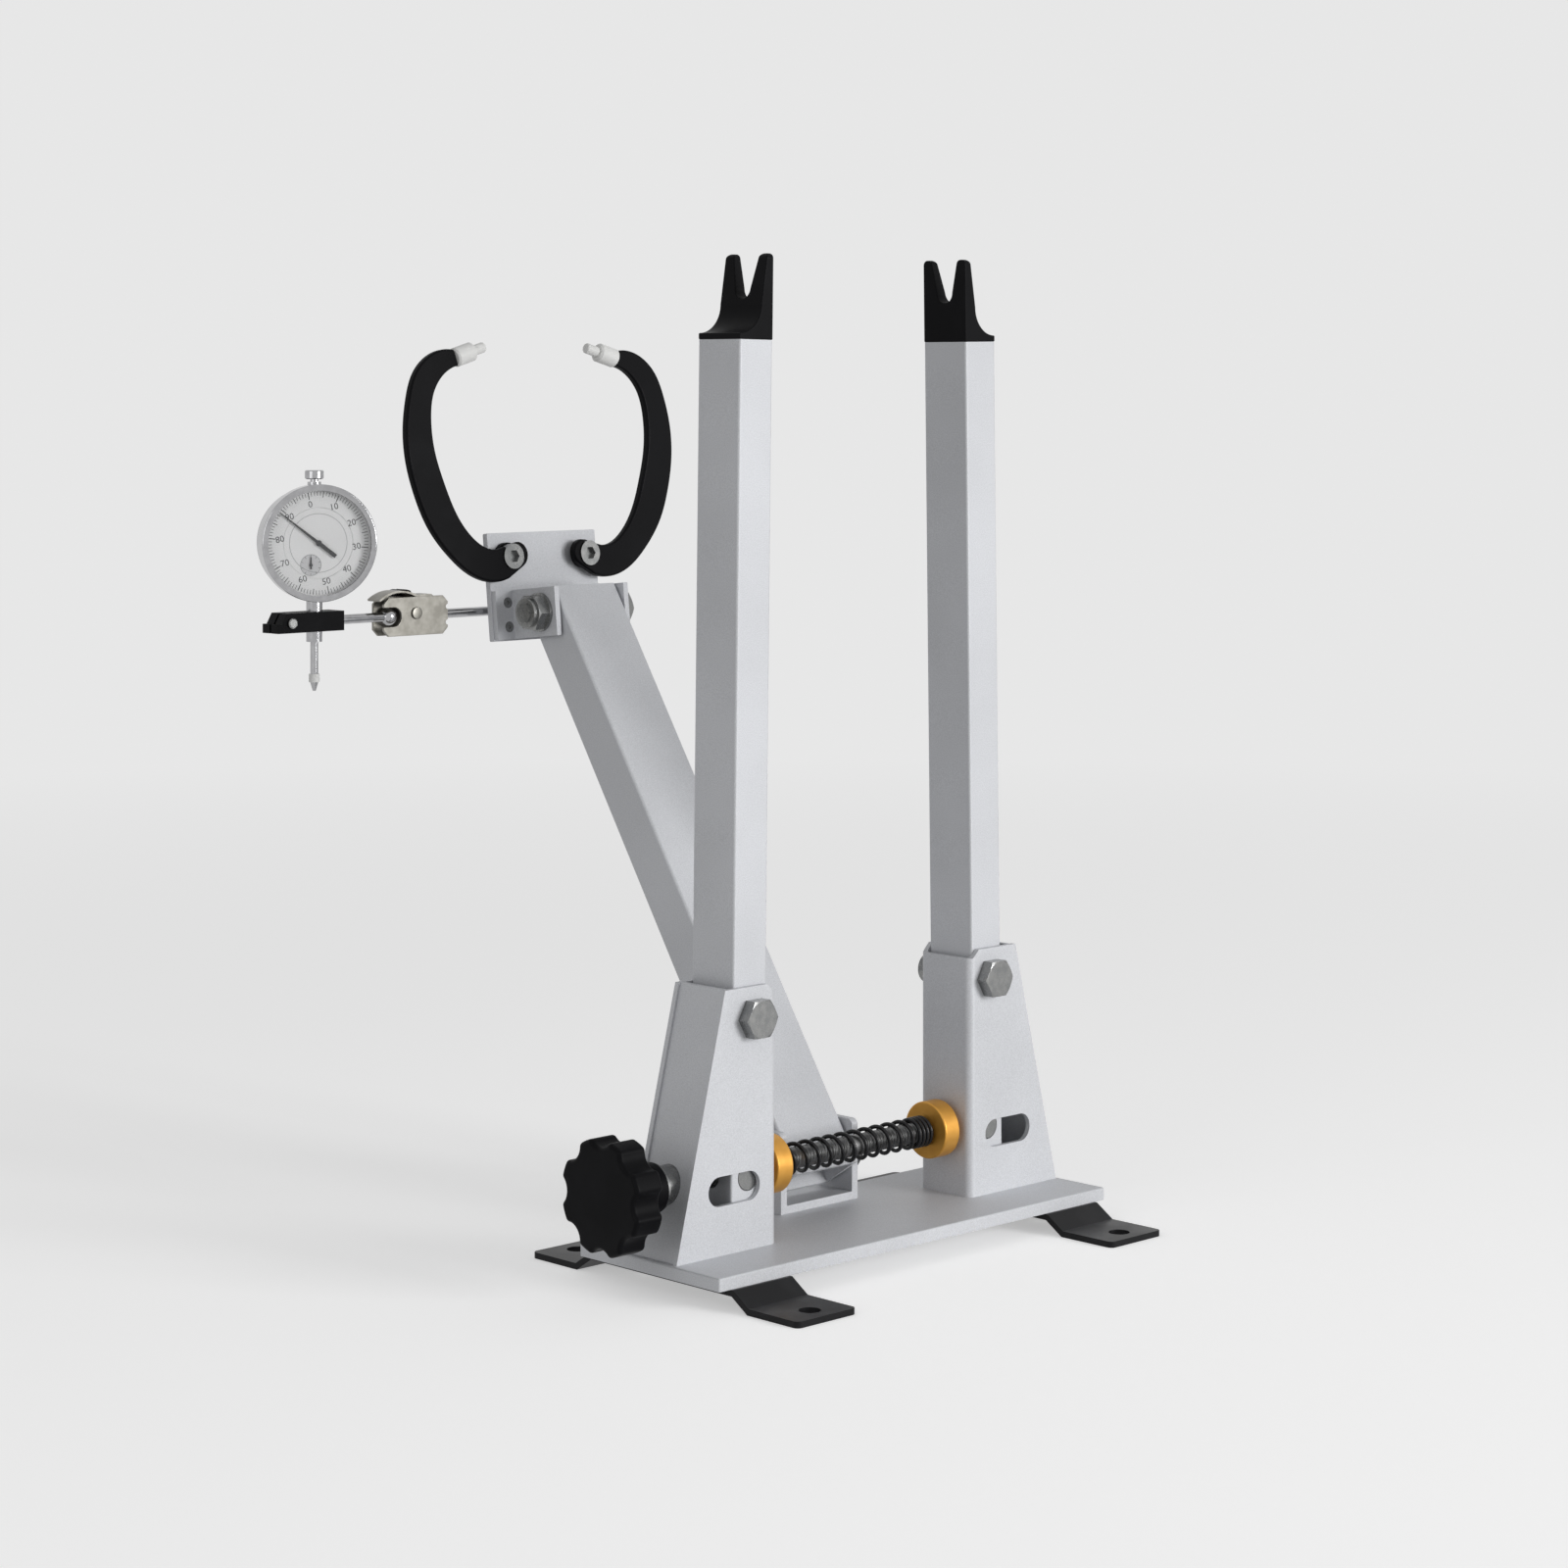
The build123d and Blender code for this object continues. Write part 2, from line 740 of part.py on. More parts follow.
save("star_knob", star_knob)

# Compression spring between the collars: one wire with closed ends and open turns between
spring_start = -collar_inner_x + spring_wire / 2 + sliding_gap
spring_end = collar_inner_x - spring_wire / 2 - sliding_gap
closed_turns = spring_end_turns + spring_dense_turns
open_pitch = (spring_end - spring_start - closed_turns * spring_dense_pitch) / spring_open_turns
spring_turns = closed_turns + spring_open_turns


def spring_x(turns):
    """X of the wire's middle after a number of turns, close turns first and last and open ones between."""
    left = spring_end_turns
    right = spring_end_turns + spring_open_turns
    open_part = min(max(turns - left, 0), right - left)
    return spring_start + turns * spring_dense_pitch + open_part * (open_pitch - spring_dense_pitch)


def spring_point(turns):
    """Middle of the wire after a number of turns."""
    angle = 2 * pi * turns
    return Vector(spring_x(turns), spring_radius * cos(angle), screw_z + spring_radius * sin(angle))


def spring_tangent(turns):
    """Direction of the wire, with the pitch averaged over a short way on both sides."""
    angle = 2 * pi * turns
    before, after = turns - spring_blend_turns, turns + spring_blend_turns
    rise = (spring_x(after) - spring_x(before)) / (2 * pi * (after - before))
    return Vector(rise, -spring_radius * sin(angle), spring_radius * cos(angle)).normalized()


spans = [turn / 2 for turn in range(2 * spring_turns + 1)]
with BuildPart() as compression_spring:
    with BuildLine() as coil:
        for start, end in zip(spans[:-1], spans[1:]):
            first, last = spring_point(start), spring_point(end)
            leaving, arriving = spring_tangent(start), spring_tangent(end)
            across = last - first
            both = leaving + arriving
            bend = 2 * (1 - leaving.dot(arriving))
            reach = (-across.dot(both) + sqrt(across.dot(both) ** 2 + bend * across.dot(across))) / bend
            middle = (first + leaving * reach + last - arriving * reach) / 2
            TangentArc(first, middle, tangent=leaving)
            TangentArc(middle, last, tangent=(middle - first - leaving * reach).normalized())
    with BuildSketch(Plane(origin=spring_point(0), z_dir=spring_tangent(0))):
        Circle(spring_wire / 2)
    sweep(path=coil.wire())
save("compression_spring", compression_spring)

steps = 48
wire_points = [spring_point(k / steps) for k in range(spring_turns * steps + 1)]
least_gap = min(
    (wire_points[k] - wire_points[k + lag]).length - spring_wire
    for lag in range(steps // 2, steps + steps // 2)
    for k in range(len(wire_points) - lag)
)
print(f"compression_spring: {spring_turns} turns, least gap to itself {least_gap:.2f} mm")

# Arm bracket: a U on the base plate that the caliper arm is hinged in
with BuildPart() as arm_bracket:
    bracket_outer = bracket_inner + 2 * bracket_sheet
    with BuildSketch(facing_back(0, bracket_front, plate_top)):
        Rectangle(bracket_outer, bracket_height, align=(Align.CENTER, Align.MIN))
        with Locations((0, bracket_sheet)):
            Rectangle(bracket_inner, bracket_height, align=(Align.CENTER, Align.MIN), mode=Mode.SUBTRACT)
    extrude(amount=bracket_depth)
    top_corners = arm_bracket.edges().filter_by(Axis.X).group_by(Axis.Z)[-1]
    fillet(top_corners, radius=bracket_corner)
    disc(
        facing_x(-bracket_outer / 2, arm_pivot_y, plate_top + arm_pivot_level), bolt_radius, bracket_outer,
        mode=Mode.SUBTRACT,
    )
    with BuildSketch(Plane.XY.offset(plate_top)):
        with Locations(*bracket_screw_places):
            Circle(base_screw_radius)
    extrude(amount=base_screw_length - plate_thickness, mode=Mode.SUBTRACT)
save("arm_bracket", arm_bracket)

# Caliper arm: a leaning tube with a pivot hole at each end
lean = radians(arm_lean)
arm_frame = Plane(
    origin=(0, arm_pivot_y, plate_top + arm_pivot_level), x_dir=(1, 0, 0), z_dir=(0, sin(lean), cos(lean))
)
head_origin = arm_frame.offset(arm_span).origin

with BuildPart() as support_arm:
    with BuildSketch(arm_frame.offset(-arm_past_pivot)):
        RectangleRounded(arm_x, arm_thickness, arm_corner)
        Rectangle(arm_x - 2 * arm_wall, arm_thickness - 2 * arm_wall, mode=Mode.SUBTRACT)
    extrude(amount=arm_span + arm_past_pivot + arm_past_head)
    for centre in (arm_frame.origin, head_origin):
        disc(facing_x(-arm_x, centre.Y, centre.Z), bolt_radius + bolt_gap, 2 * arm_x, mode=Mode.SUBTRACT)
save("support_arm", support_arm)


def pivot_washers(centre):
    """Two washers that fill the space between the arm's tube and the bracket's flanges."""
    thickness = (bracket_inner - arm_x) / 2 - sliding_gap
    for start in (-bracket_inner / 2, bracket_inner / 2 - thickness):
        ring(facing_x(start, centre.Y, centre.Z), washer_radius, bolt_radius, thickness)


with BuildPart() as arm_pivot_washers:
    pivot_washers(arm_frame.origin)
save("arm_pivot_washers", arm_pivot_washers)

with BuildPart() as arm_pivot_bolt:
    hex_bolt(facing_x(bracket_outer / 2, arm_frame.origin.Y, arm_frame.origin.Z), bracket_outer)
save("arm_pivot_bolt", arm_pivot_bolt)

with BuildPart() as arm_pivot_nut:
    lock_nut(
        Plane(
            origin=(-bracket_outer / 2, arm_frame.origin.Y, arm_frame.origin.Z),
            x_dir=(0, -1, 0), z_dir=(-1, 0, 0),
        )
    )
save("arm_pivot_nut", arm_pivot_nut)

# Head frame: X to the right, Y up along the head plate, Z to the front, origin on the head's pivot
head_tilt = radians(head_lean)
head_front = (0, -cos(head_tilt), sin(head_tilt))
head_up = (0, sin(head_tilt), cos(head_tilt))
head_frame = Plane(origin=head_origin, x_dir=(1, 0, 0), z_dir=head_front)
plate_front = head_frame.offset(-head_setback)
plate_back = head_frame.offset(-head_setback - head_sheet)
bracket_bolt_places = [
    (sx * bracket_bolt_x, sy * bracket_bolt_spacing / 2) for sx in (-1, 1) for sy in (-1, 1)
]
caliper_places = [(sx * caliper_x, caliper_level) for sx in (-1, 1)]

with BuildPart() as head_plate:
    with BuildSketch(plate_back):
        with Locations((0, (head_above - head_below) / 2)):
            RectangleRounded(head_width, head_above + head_below, plate_corner)
        with Locations(*bracket_bolt_places):
            Circle(bracket_bolt_radius, mode=Mode.SUBTRACT)
        with Locations(*caliper_places):
            Circle(caliper_screw_radius, mode=Mode.SUBTRACT)
    extrude(amount=head_sheet)
save("head_plate", head_plate)

# Head brackets: folded angles on the plate whose flanges carry the pivot bolt
flange_x = bracket_inner / 2
head_section = Plane(origin=head_origin, x_dir=(1, 0, 0), z_dir=(0, -head_up[1], -head_up[2]))
flange_end = flange_x + head_bracket_sheet


def sunk_screw(place, length, mode=Mode.ADD):
    """Countersunk screw, or the hole for one, whose flat head lies flush in a head bracket's web."""
    face = plate_front.offset(head_bracket_sheet)
    with BuildSketch(face) as head_face:
        with Locations(place):
            Circle(bracket_bolt_head)
    with BuildSketch(face.offset(-bracket_bolt_sink)) as shank_face:
        with Locations(place):
            Circle(bracket_bolt_radius)
    loft([head_face.sketch, shank_face.sketch], mode=mode)
    extrude(shank_face.sketch, amount=bracket_bolt_sink - length, mode=mode)


with BuildPart() as right_head_bracket:
    with BuildSketch(head_section) as angle_section:
        with BuildLine():
            Polyline(
                (flange_x, head_bracket_front),
                (flange_end, head_bracket_front),
                (flange_end, -head_setback + head_bracket_sheet),
                (head_bracket_reach, -head_setback + head_bracket_sheet),
                (head_bracket_reach, -head_setback),
                (flange_x, -head_setback),
                close=True,
            )
        make_face()
        bend_corner = angle_section.vertices().group_by(Axis.Y)[0].sort_by(Axis.X)[0]
        fillet(bend_corner, radius=head_bracket_bend)
    extrude(amount=head_bracket_height / 2, both=True)
    disc(
        facing_x(flange_x, head_origin.Y, head_origin.Z), bolt_radius, head_bracket_sheet,
        mode=Mode.SUBTRACT,
    )
    for place in bracket_bolt_places[2:]:
        sunk_screw(place, head_bracket_sheet, Mode.SUBTRACT)
save_pair("head_bracket", right_head_bracket)

with BuildPart() as bracket_screws:
    for place in bracket_bolt_places:
        sunk_screw(place, head_bracket_sheet + head_sheet)
    with BuildSketch(plate_front.offset(head_bracket_sheet)):
        with Locations(*bracket_bolt_places):
            RegularPolygon(radius=bracket_bolt_socket / 2, side_count=6, major_radius=False)
    extrude(amount=-bracket_bolt_sink / 2, mode=Mode.SUBTRACT)
save("bracket_screws", bracket_screws)

# Head pivot: bolt head on the right, washer and lock nut on the left, washers beside the arm's tube
left_flange = Plane(origin=(-flange_end, head_origin.Y, head_origin.Z), x_dir=(0, -1, 0), z_dir=(-1, 0, 0))

with BuildPart() as head_pivot_bolt:
    hex_bolt(facing_x(flange_end, head_origin.Y, head_origin.Z), 2 * flange_end + washer_thickness)
save("head_pivot_bolt", head_pivot_bolt)

with BuildPart() as head_pivot_nut:
    lock_nut(left_flange.offset(washer_thickness))
save("head_pivot_nut", head_pivot_nut)

with BuildPart() as head_pivot_washers:
    pivot_washers(head_origin)
    ring(left_flange, washer_radius, bolt_radius, washer_thickness)
save("head_pivot_washers", head_pivot_washers)

# Calipers: flat curved arms on bosses that swing on socket screws sunk into their lower ends
caliper_back = plate_front.offset(sliding_gap)
caliper_frame = at(caliper_back, caliper_x, caliper_level)
caliper_depth = caliper_boss_height + caliper_thickness
caliper_front = caliper_frame.offset(caliper_depth)


def caliper_points(shares):
    """Points of a caliper's outline, in its own plane, from shares of its reach and rise."""
    return [(x * caliper_reach, y * caliper_rise) for x, y in shares]


feeler_way = (-cos(radians(feeler_angle)), sin(radians(feeler_angle)))
caliper_end = caliper_points([caliper_end_share])[0]
end_half = caliper_end_half_share * caliper_rise
end_inner = (caliper_end[0] - end_half * feeler_way[1], caliper_end[1] + end_half * feeler_way[0])
end_outer = (caliper_end[0] + end_half * feeler_way[1], caliper_end[1] - end_half * feeler_way[0])
inner_edge = [end_inner] + caliper_points(caliper_inner_shares)
heel_edge = caliper_points(caliper_heel_shares)
outer_edge = caliper_points(caliper_outer_shares) + [end_outer]
feeler_base = Plane(
    origin=caliper_front.from_local_coords((caliper_end[0], caliper_end[1], -caliper_thickness / 2)),
    x_dir=caliper_frame.z_dir,
    z_dir=caliper_frame.x_dir * feeler_way[0] + caliper_frame.y_dir * feeler_way[1],
)

with BuildPart() as caliper_blank:
    with BuildSketch():
        with BuildLine():
            Spline(*inner_edge)
            Line(inner_edge[-1], heel_edge[0])
            ThreePointArc(*heel_edge)
            Line(heel_edge[-1], outer_edge[0])
            Spline(*outer_edge)
            Line(outer_edge[-1], inner_edge[0])
        make_face()
    extrude(amount=caliper_thickness)
    broad_faces = caliper_blank.faces().sort_by(Axis.Z)
    fillet(broad_faces[0].edges() + broad_faces[-1].edges(), radius=caliper_edge_round)

with BuildPart() as right_caliper:
    add(caliper_blank.part.moved(caliper_frame.offset(caliper_boss_height).location))
    disc(caliper_frame, caliper_boss_radius, caliper_boss_height)
    disc(caliper_frame, caliper_screw_radius + bolt_gap, caliper_depth, mode=Mode.SUBTRACT)
    disc(caliper_front, caliper_head_radius + sliding_gap, -caliper_head_recess, mode=Mode.SUBTRACT)
    disc(feeler_base, feeler_tenon_radius, -feeler_tenon_length, mode=Mode.SUBTRACT)
save_pair("caliper", right_caliper)

# Feelers: plastic tips with a tenon in the caliper's end, a collar and a thinner pin
with BuildPart() as right_feeler:
    disc(feeler_base, feeler_tenon_radius, -feeler_tenon_length)
    with BuildSketch(feeler_base):
        Circle(feeler_collar_radius)
    extrude(amount=feeler_collar_length)
    collar_rims = right_feeler.edges().filter_by(GeomType.CIRCLE).filter_by(
        lambda e: e.radius > feeler_pin_radius
    )
    chamfer(collar_rims, length=feeler_collar_taper)
    disc(feeler_base.offset(feeler_collar_length), feeler_pin_radius, feeler_pin_length)
    pin_rim = right_feeler.edges().sort_by(Axis(feeler_base.origin, feeler_base.z_dir))[-1]
    fillet(pin_rim, radius=feeler_pin_round)
save_pair("feeler", right_feeler)

head_seat = caliper_depth - caliper_head_recess + running_gap

with BuildPart() as caliper_screws:
    for side in (-1, 1):
        seat = at(caliper_back, side * caliper_x, caliper_level, head_seat)
        disc(seat, caliper_head_radius, caliper_head_height)
        hexagon(
            seat.offset(caliper_head_height), caliper_socket_flats, -caliper_socket_depth,
            mode=Mode.SUBTRACT,
        )
        disc(seat, caliper_screw_radius, -head_seat - sliding_gap - head_sheet)
save("caliper_screws", caliper_screws)

# Gauge rod, gripped in a block behind the head plate, with a ball on its outer end
rod_depth = -head_setback - head_sheet - rod_behind_plate
rod_centre = head_frame.from_local_coords((0, rod_level, rod_depth))
block_x = (rod_clamp_length - head_width) / 2 + rod_clamp_inset
block_plane = Plane(
    origin=plate_back.from_local_coords((block_x, rod_level, 0)),
    x_dir=plate_back.x_dir, z_dir=-plate_back.z_dir,
)

with BuildPart() as rod_clamp:
    with BuildSketch(block_plane):
        RectangleRounded(rod_clamp_length, rod_clamp_height, rod_clamp_round)
    extrude(amount=rod_clamp_depth)
    disc(
        facing_x(-head_width, rod_centre.Y, rod_centre.Z), support_rod_radius + running_gap, head_width,
        mode=Mode.SUBTRACT,
    )
    disc(
        block_plane.offset(rod_clamp_depth), clamp_screw_radius, rod_behind_plate - rod_clamp_depth,
        mode=Mode.SUBTRACT,
    )
save("rod_clamp", rod_clamp)

with BuildPart() as rod_clamp_screw:
    screw_tip = rod_behind_plate + support_rod_radius + running_gap
    disc(block_plane.offset(screw_tip), clamp_screw_radius, rod_clamp_depth - screw_tip)
    disc(block_plane.offset(rod_clamp_depth), clamp_screw_head_radius, clamp_screw_head_height)
    screw_rims = rod_clamp_screw.edges().filter_by(GeomType.CIRCLE).filter_by(
        lambda e: e.radius > clamp_screw_radius + running_gap
    )
    chamfer(screw_rims, length=plate_chamfer)
save("rod_clamp_screw", rod_clamp_screw)

small_ball_x = -swivel_right_x - ball_inset
large_ball_x = -swivel_right_x - swivel_length + ball_inset


def ball_rod(ball_x, radius, end_x):
    """Round rod along X at the gauge rods' height, with a ball on the end where it starts."""
    way = (end_x - ball_x) / abs(end_x - ball_x)
    side = Plane(origin=(ball_x, rod_centre.Y, rod_centre.Z), x_dir=(way, 0, 0), z_dir=(0, -1, 0))
    join = sqrt(radius**2 - support_rod_radius**2)
    with BuildSketch(side) as half:
        with BuildLine():
            ThreePointArc((-radius, 0), (0, radius), (join, support_rod_radius))
            Polyline(
                (join, support_rod_radius),
                (abs(end_x - ball_x), support_rod_radius),
                (abs(end_x - ball_x), 0),
                (-radius, 0),
            )
        make_face()
    revolve(half.sketch, axis=Axis(side.origin, side.x_dir))


with BuildPart() as gauge_rod:
    ball_rod(small_ball_x, small_ball_radius, -rod_inner_x)
save("gauge_rod", gauge_rod)

# Swivel clamp: two plates that squeeze the balls of both rods, a leaf over them and a knob behind
swivel_x = -swivel_right_x - swivel_length / 2
plate_shift = swivel_inner_gap / 2
large_ball_local = large_ball_x - swivel_x

with BuildPart() as swivel_plates:
    with BuildSketch(facing_front(swivel_x, rod_centre.Y - plate_shift, rod_centre.Z)) as front_face:
        Rectangle(swivel_length, swivel_height)
        chamfer(front_face.vertices(), length=swivel_chamfer)
        with Locations((large_ball_local, 0)):
            Circle(ball_notch_radius, mode=Mode.SUBTRACT)
            Rectangle(
                2 * ball_inset, 2 * ball_notch_radius, align=(Align.MAX, Align.CENTER), mode=Mode.SUBTRACT
            )
        with Locations((swivel_length / 2, swivel_nick_level), (swivel_length / 2, -swivel_nick_level)):
            Circle(swivel_nick_radius, mode=Mode.SUBTRACT)
        with Locations((0, swivel_screw_rise)):
            Circle(swivel_screw_radius + running_gap, mode=Mode.SUBTRACT)
    extrude(amount=swivel_sheet)
    with BuildSketch(facing_back(swivel_x, rod_centre.Y + plate_shift, rod_centre.Z)) as back_face:
        Rectangle(swivel_length, swivel_height)
        chamfer(back_face.vertices(), length=swivel_chamfer)
        with Locations((-large_ball_local, 0)):
            Circle(ball_hole_radius, mode=Mode.SUBTRACT)
        with Locations((0, swivel_screw_rise)):
            Circle(swivel_screw_radius + running_gap, mode=Mode.SUBTRACT)
    extrude(amount=swivel_sheet)
save("swivel_plates", swivel_plates)

leaf_level = (swivel_height + leaf_sheet) / 2
arch_x = leaf_peak_share * (leaf_length - leaf_seat)

with BuildPart() as swivel_leaf:
    with BuildSketch(facing_front(swivel_x, rod_centre.Y, rod_centre.Z)):
        with BuildLine() as leaf_line:
            Line((leaf_seat, leaf_level), (0, leaf_level))
            ThreePointArc(
                (0, leaf_level),
                (-arch_x, leaf_level + leaf_rise),
                (leaf_seat - leaf_length, leaf_level - leaf_drop),
            )
        trace(leaf_line.wire(), line_width=leaf_sheet)
    extrude(amount=plate_shift + swivel_sheet, both=True)
save("swivel_leaf", swivel_leaf)

with BuildPart() as swivel_knob:
    knob_z = rod_centre.Z + swivel_screw_rise
    front_y = rod_centre.Y - plate_shift - swivel_sheet - running_gap
    back_y = rod_centre.Y + plate_shift + swivel_sheet + running_gap
    disc(facing_front(swivel_x, front_y, knob_z), swivel_rivet_radius, swivel_rivet_height)
    disc(facing_back(swivel_x, front_y, knob_z), swivel_screw_radius, back_y - front_y)
    with BuildSketch(facing_back(swivel_x, back_y, knob_z)):
        Circle(swivel_knob_radius)
        with PolarLocations(swivel_knob_radius, swivel_knob_flutes):
            Circle(swivel_flute_radius, mode=Mode.SUBTRACT)
    extrude(amount=swivel_knob_length)
save("swivel_knob", swivel_knob)

# Stem holder: a split bar on the second rod, squeezed on the gauge's stem by a screw
holder_left_x = -holder_right_x - holder_length
stem_bore = stem_radius + running_gap

with BuildPart() as stem_rod:
    ball_rod(large_ball_x, ball_radius, -holder_right_x)
    disc(facing_x(-holder_right_x, rod_centre.Y, rod_centre.Z), stem_rod_spigot, -stem_rod_bite)
save("stem_rod", stem_rod)

with BuildPart() as stem_holder:
    with BuildSketch(facing_front(holder_left_x, rod_centre.Y + holder_depth / 2, rod_centre.Z)) as holder_face:
        with BuildLine():
            Polyline(
                (0, -holder_height / 2),
                (holder_length, -holder_height / 2),
                (holder_length, holder_height / 2),
                (holder_step + holder_slope, holder_height / 2),
                (holder_step, holder_step_height - holder_height / 2),
                (0, holder_step_height - holder_height / 2),
                close=True,
            )
        make_face()
    extrude(amount=holder_depth)
    with BuildSketch(Plane.XY.offset(rod_centre.Z - holder_height / 2)):
        with Locations((-stem_x, rod_centre.Y)):
            Circle(stem_bore)
            Rectangle(holder_length, holder_slit, align=(Align.MAX, Align.CENTER))
    extrude(amount=holder_height, mode=Mode.SUBTRACT)
    disc(
        facing_x(-holder_right_x, rod_centre.Y, rod_centre.Z), stem_rod_spigot, -stem_rod_bite,
        mode=Mode.SUBTRACT,
    )
    disc(
        facing_back(-holder_screw_x, rod_centre.Y - holder_depth / 2, rod_centre.Z), holder_screw_radius,
        holder_depth, mode=Mode.SUBTRACT,
    )
save("stem_holder", stem_holder)

with BuildPart() as stem_screw:
    screw_face = facing_front(-holder_screw_x, rod_centre.Y - holder_depth / 2, rod_centre.Z)
    disc(screw_face, holder_screw_radius, -holder_depth)
    disc(screw_face, holder_screw_head_radius, holder_screw_head_height)
    chamfer(stem_screw.edges().sort_by(Axis.Y)[0], length=plate_chamfer)
save("stem_screw", stem_screw)

# Dial gauge frame: X to the dial's right, Y up, Z out of the dial, origin where the stem's axis crosses
# the middle of the case
yaw = radians(gauge_yaw)
gauge_centre = Vector(-stem_x, rod_centre.Y, rod_centre.Z + gauge_rise)
gauge_frame = Plane(origin=gauge_centre, x_dir=(cos(yaw), -sin(yaw), 0), z_dir=(-sin(yaw), -cos(yaw), 0))


def stem_plane(height):
    """Level plane on the stem's axis, at a height over the gauge's centre."""
    return Plane(origin=gauge_centre + Vector(0, 0, height))


with BuildPart() as gauge_case:
    disc(gauge_frame.offset(-case_back), case_radius, case_back + case_front)
    fillet(gauge_case.edges().sort_by(Axis(gauge_centre, gauge_frame.z_dir))[0], radius=case_wall / 2)
    disc(stem_plane(-case_radius - stem_length), stem_radius, stem_length + case_wall)
    disc(stem_plane(case_radius - case_wall), neck_radius, neck_height + case_wall)
    disc(
        gauge_frame.offset(case_wall - case_back), case_radius - case_wall, case_back + case_front,
        mode=Mode.SUBTRACT,
    )
    disc(
        stem_plane(-case_radius - stem_length), plunger_radius + running_gap,
        2 * case_radius + stem_length + neck_height, mode=Mode.SUBTRACT,
    )
save("gauge_case", gauge_case)

# Fixed middle of the dial, on the movement's plate and pillars, with holes for both arbors
movement_back = case_front - movement_thickness
pillar_places = [
    (pillar_circle * cos(radians(angle)), pillar_circle * sin(radians(angle))) for angle in pillar_angles
]

with BuildPart() as gauge_dial:
    disc(gauge_frame.offset(movement_back), pillar_circle + 2 * pillar_radius, movement_thickness)
    with BuildSketch(gauge_frame.offset(case_wall - case_back)):
        with Locations(*pillar_places):
            Circle(pillar_radius)
    extrude(amount=movement_back + case_back - case_wall)
    disc(gauge_frame.offset(case_front), dial_split_radius, dial_thickness)
    with BuildSketch(gauge_frame.offset(movement_back)):
        with Locations((0, 0), (small_dial_x, small_dial_y)):
            Circle(arbor_radius + running_gap)
    extrude(amount=case_front + dial_thickness - movement_back, mode=Mode.SUBTRACT)
save("gauge_dial", gauge_dial)

# Bezel, scale ring and crystal, which turn together to set zero
lip_back = bezel_front - bezel_lip

with BuildPart() as gauge_bezel:
    ring(gauge_frame.offset(bezel_back), bezel_radius, case_radius + running_gap, lip_back - bezel_back)
    ring(gauge_frame.offset(lip_back), bezel_radius, bezel_lip_radius, bezel_lip)
    outer_rims = gauge_bezel.edges().filter_by(GeomType.CIRCLE).group_by(lambda e: e.radius)[-1]
    fillet(outer_rims, radius=bezel_round)
save("gauge_bezel", gauge_bezel)

with BuildPart() as gauge_crystal:
    disc(gauge_frame.offset(lip_back - crystal_thickness), case_radius, crystal_thickness)
save("gauge_crystal", gauge_crystal)

with BuildPart() as gauge_scale_ring:
    ring(
        gauge_frame.offset(case_front + running_gap), case_radius, dial_split_radius + dial_split_gap,
        dial_thickness,
    )
save("gauge_scale_ring", gauge_scale_ring)

# Pointers on their arbors, each with its wheel of the movement
wheel_back = plunger_radius + sliding_gap
dial_face = case_front + dial_thickness
small_needle_back = dial_face + sliding_gap
needle_back = small_needle_back + pointer_sheet + sliding_gap


def needle(hub, back, angle, length, width, tail, tail_width, hub_radius):
    """Flat pointer that tapers to its tip, with a straight tail, lying at a height over the dial."""
    along = Plane(
        origin=gauge_frame.from_local_coords((hub[0], hub[1], back)),
        x_dir=gauge_frame.x_dir * cos(radians(angle)) + gauge_frame.y_dir * sin(radians(angle)),
        z_dir=gauge_frame.z_dir,
    )
    with BuildSketch(along) as outline:
        with BuildLine():
            Polyline(
                (0, width / 2),
                (length, pointer_end_width / 2),
                (length, -pointer_end_width / 2),
                (0, -width / 2),
                close=True,
            )
        make_face()
        Circle(hub_radius)
        Rectangle(tail, tail_width, align=(Align.MAX, Align.CENTER))
    extrude(outline.sketch, amount=pointer_sheet)


with BuildPart() as gauge_pointer:
    disc(gauge_frame.offset(wheel_back), arbor_radius, needle_back + pointer_sheet - wheel_back)
    disc(gauge_frame.offset(wheel_back), pinion_radius, wheel_thickness - running_gap)
    needle(
        (0, 0), needle_back, pointer_angle, pointer_length, pointer_width, pointer_tail,
        pointer_tail_width, pointer_hub_radius,
    )
save("gauge_pointer", gauge_pointer)

with BuildPart() as gauge_small_pointer:
    small_axis = at(gauge_frame, small_dial_x, small_dial_y)
    disc(
        small_axis.offset(-rack_pinion_length), arbor_radius,
        small_needle_back + pointer_sheet + rack_pinion_length,
    )
    disc(small_axis.offset(-rack_pinion_length / 2), rack_pinion_radius, rack_pinion_length)
    disc(small_axis.offset(wheel_back), wheel_radius, wheel_thickness - running_gap)
    needle(
        (small_dial_x, small_dial_y), small_needle_back, small_pointer_angle, small_pointer_length,
        small_pointer_width, small_pointer_length / 2, small_pointer_width, small_pointer_width,
    )
save("gauge_small_pointer", gauge_small_pointer)

# Plunger with its steel point, the plastic collar above the point and the cap on top
cap_level = case_radius + neck_height + cap_gap

with BuildPart() as gauge_plunger:
    disc(stem_plane(-plunger_length), plunger_radius, plunger_length + cap_level + cap_bore_depth)
    disc(stem_plane(-plunger_length - tip_collar_length), tip_core_radius, tip_collar_length)
    with BuildSketch(stem_plane(-plunger_length - tip_collar_length)) as point_root:
        Circle(tip_point_radius)
    with BuildSketch(stem_plane(-plunger_length - tip_collar_length - tip_point_length)) as point_end:
        Circle(tip_point_end)
    loft()
save("gauge_plunger", gauge_plunger)

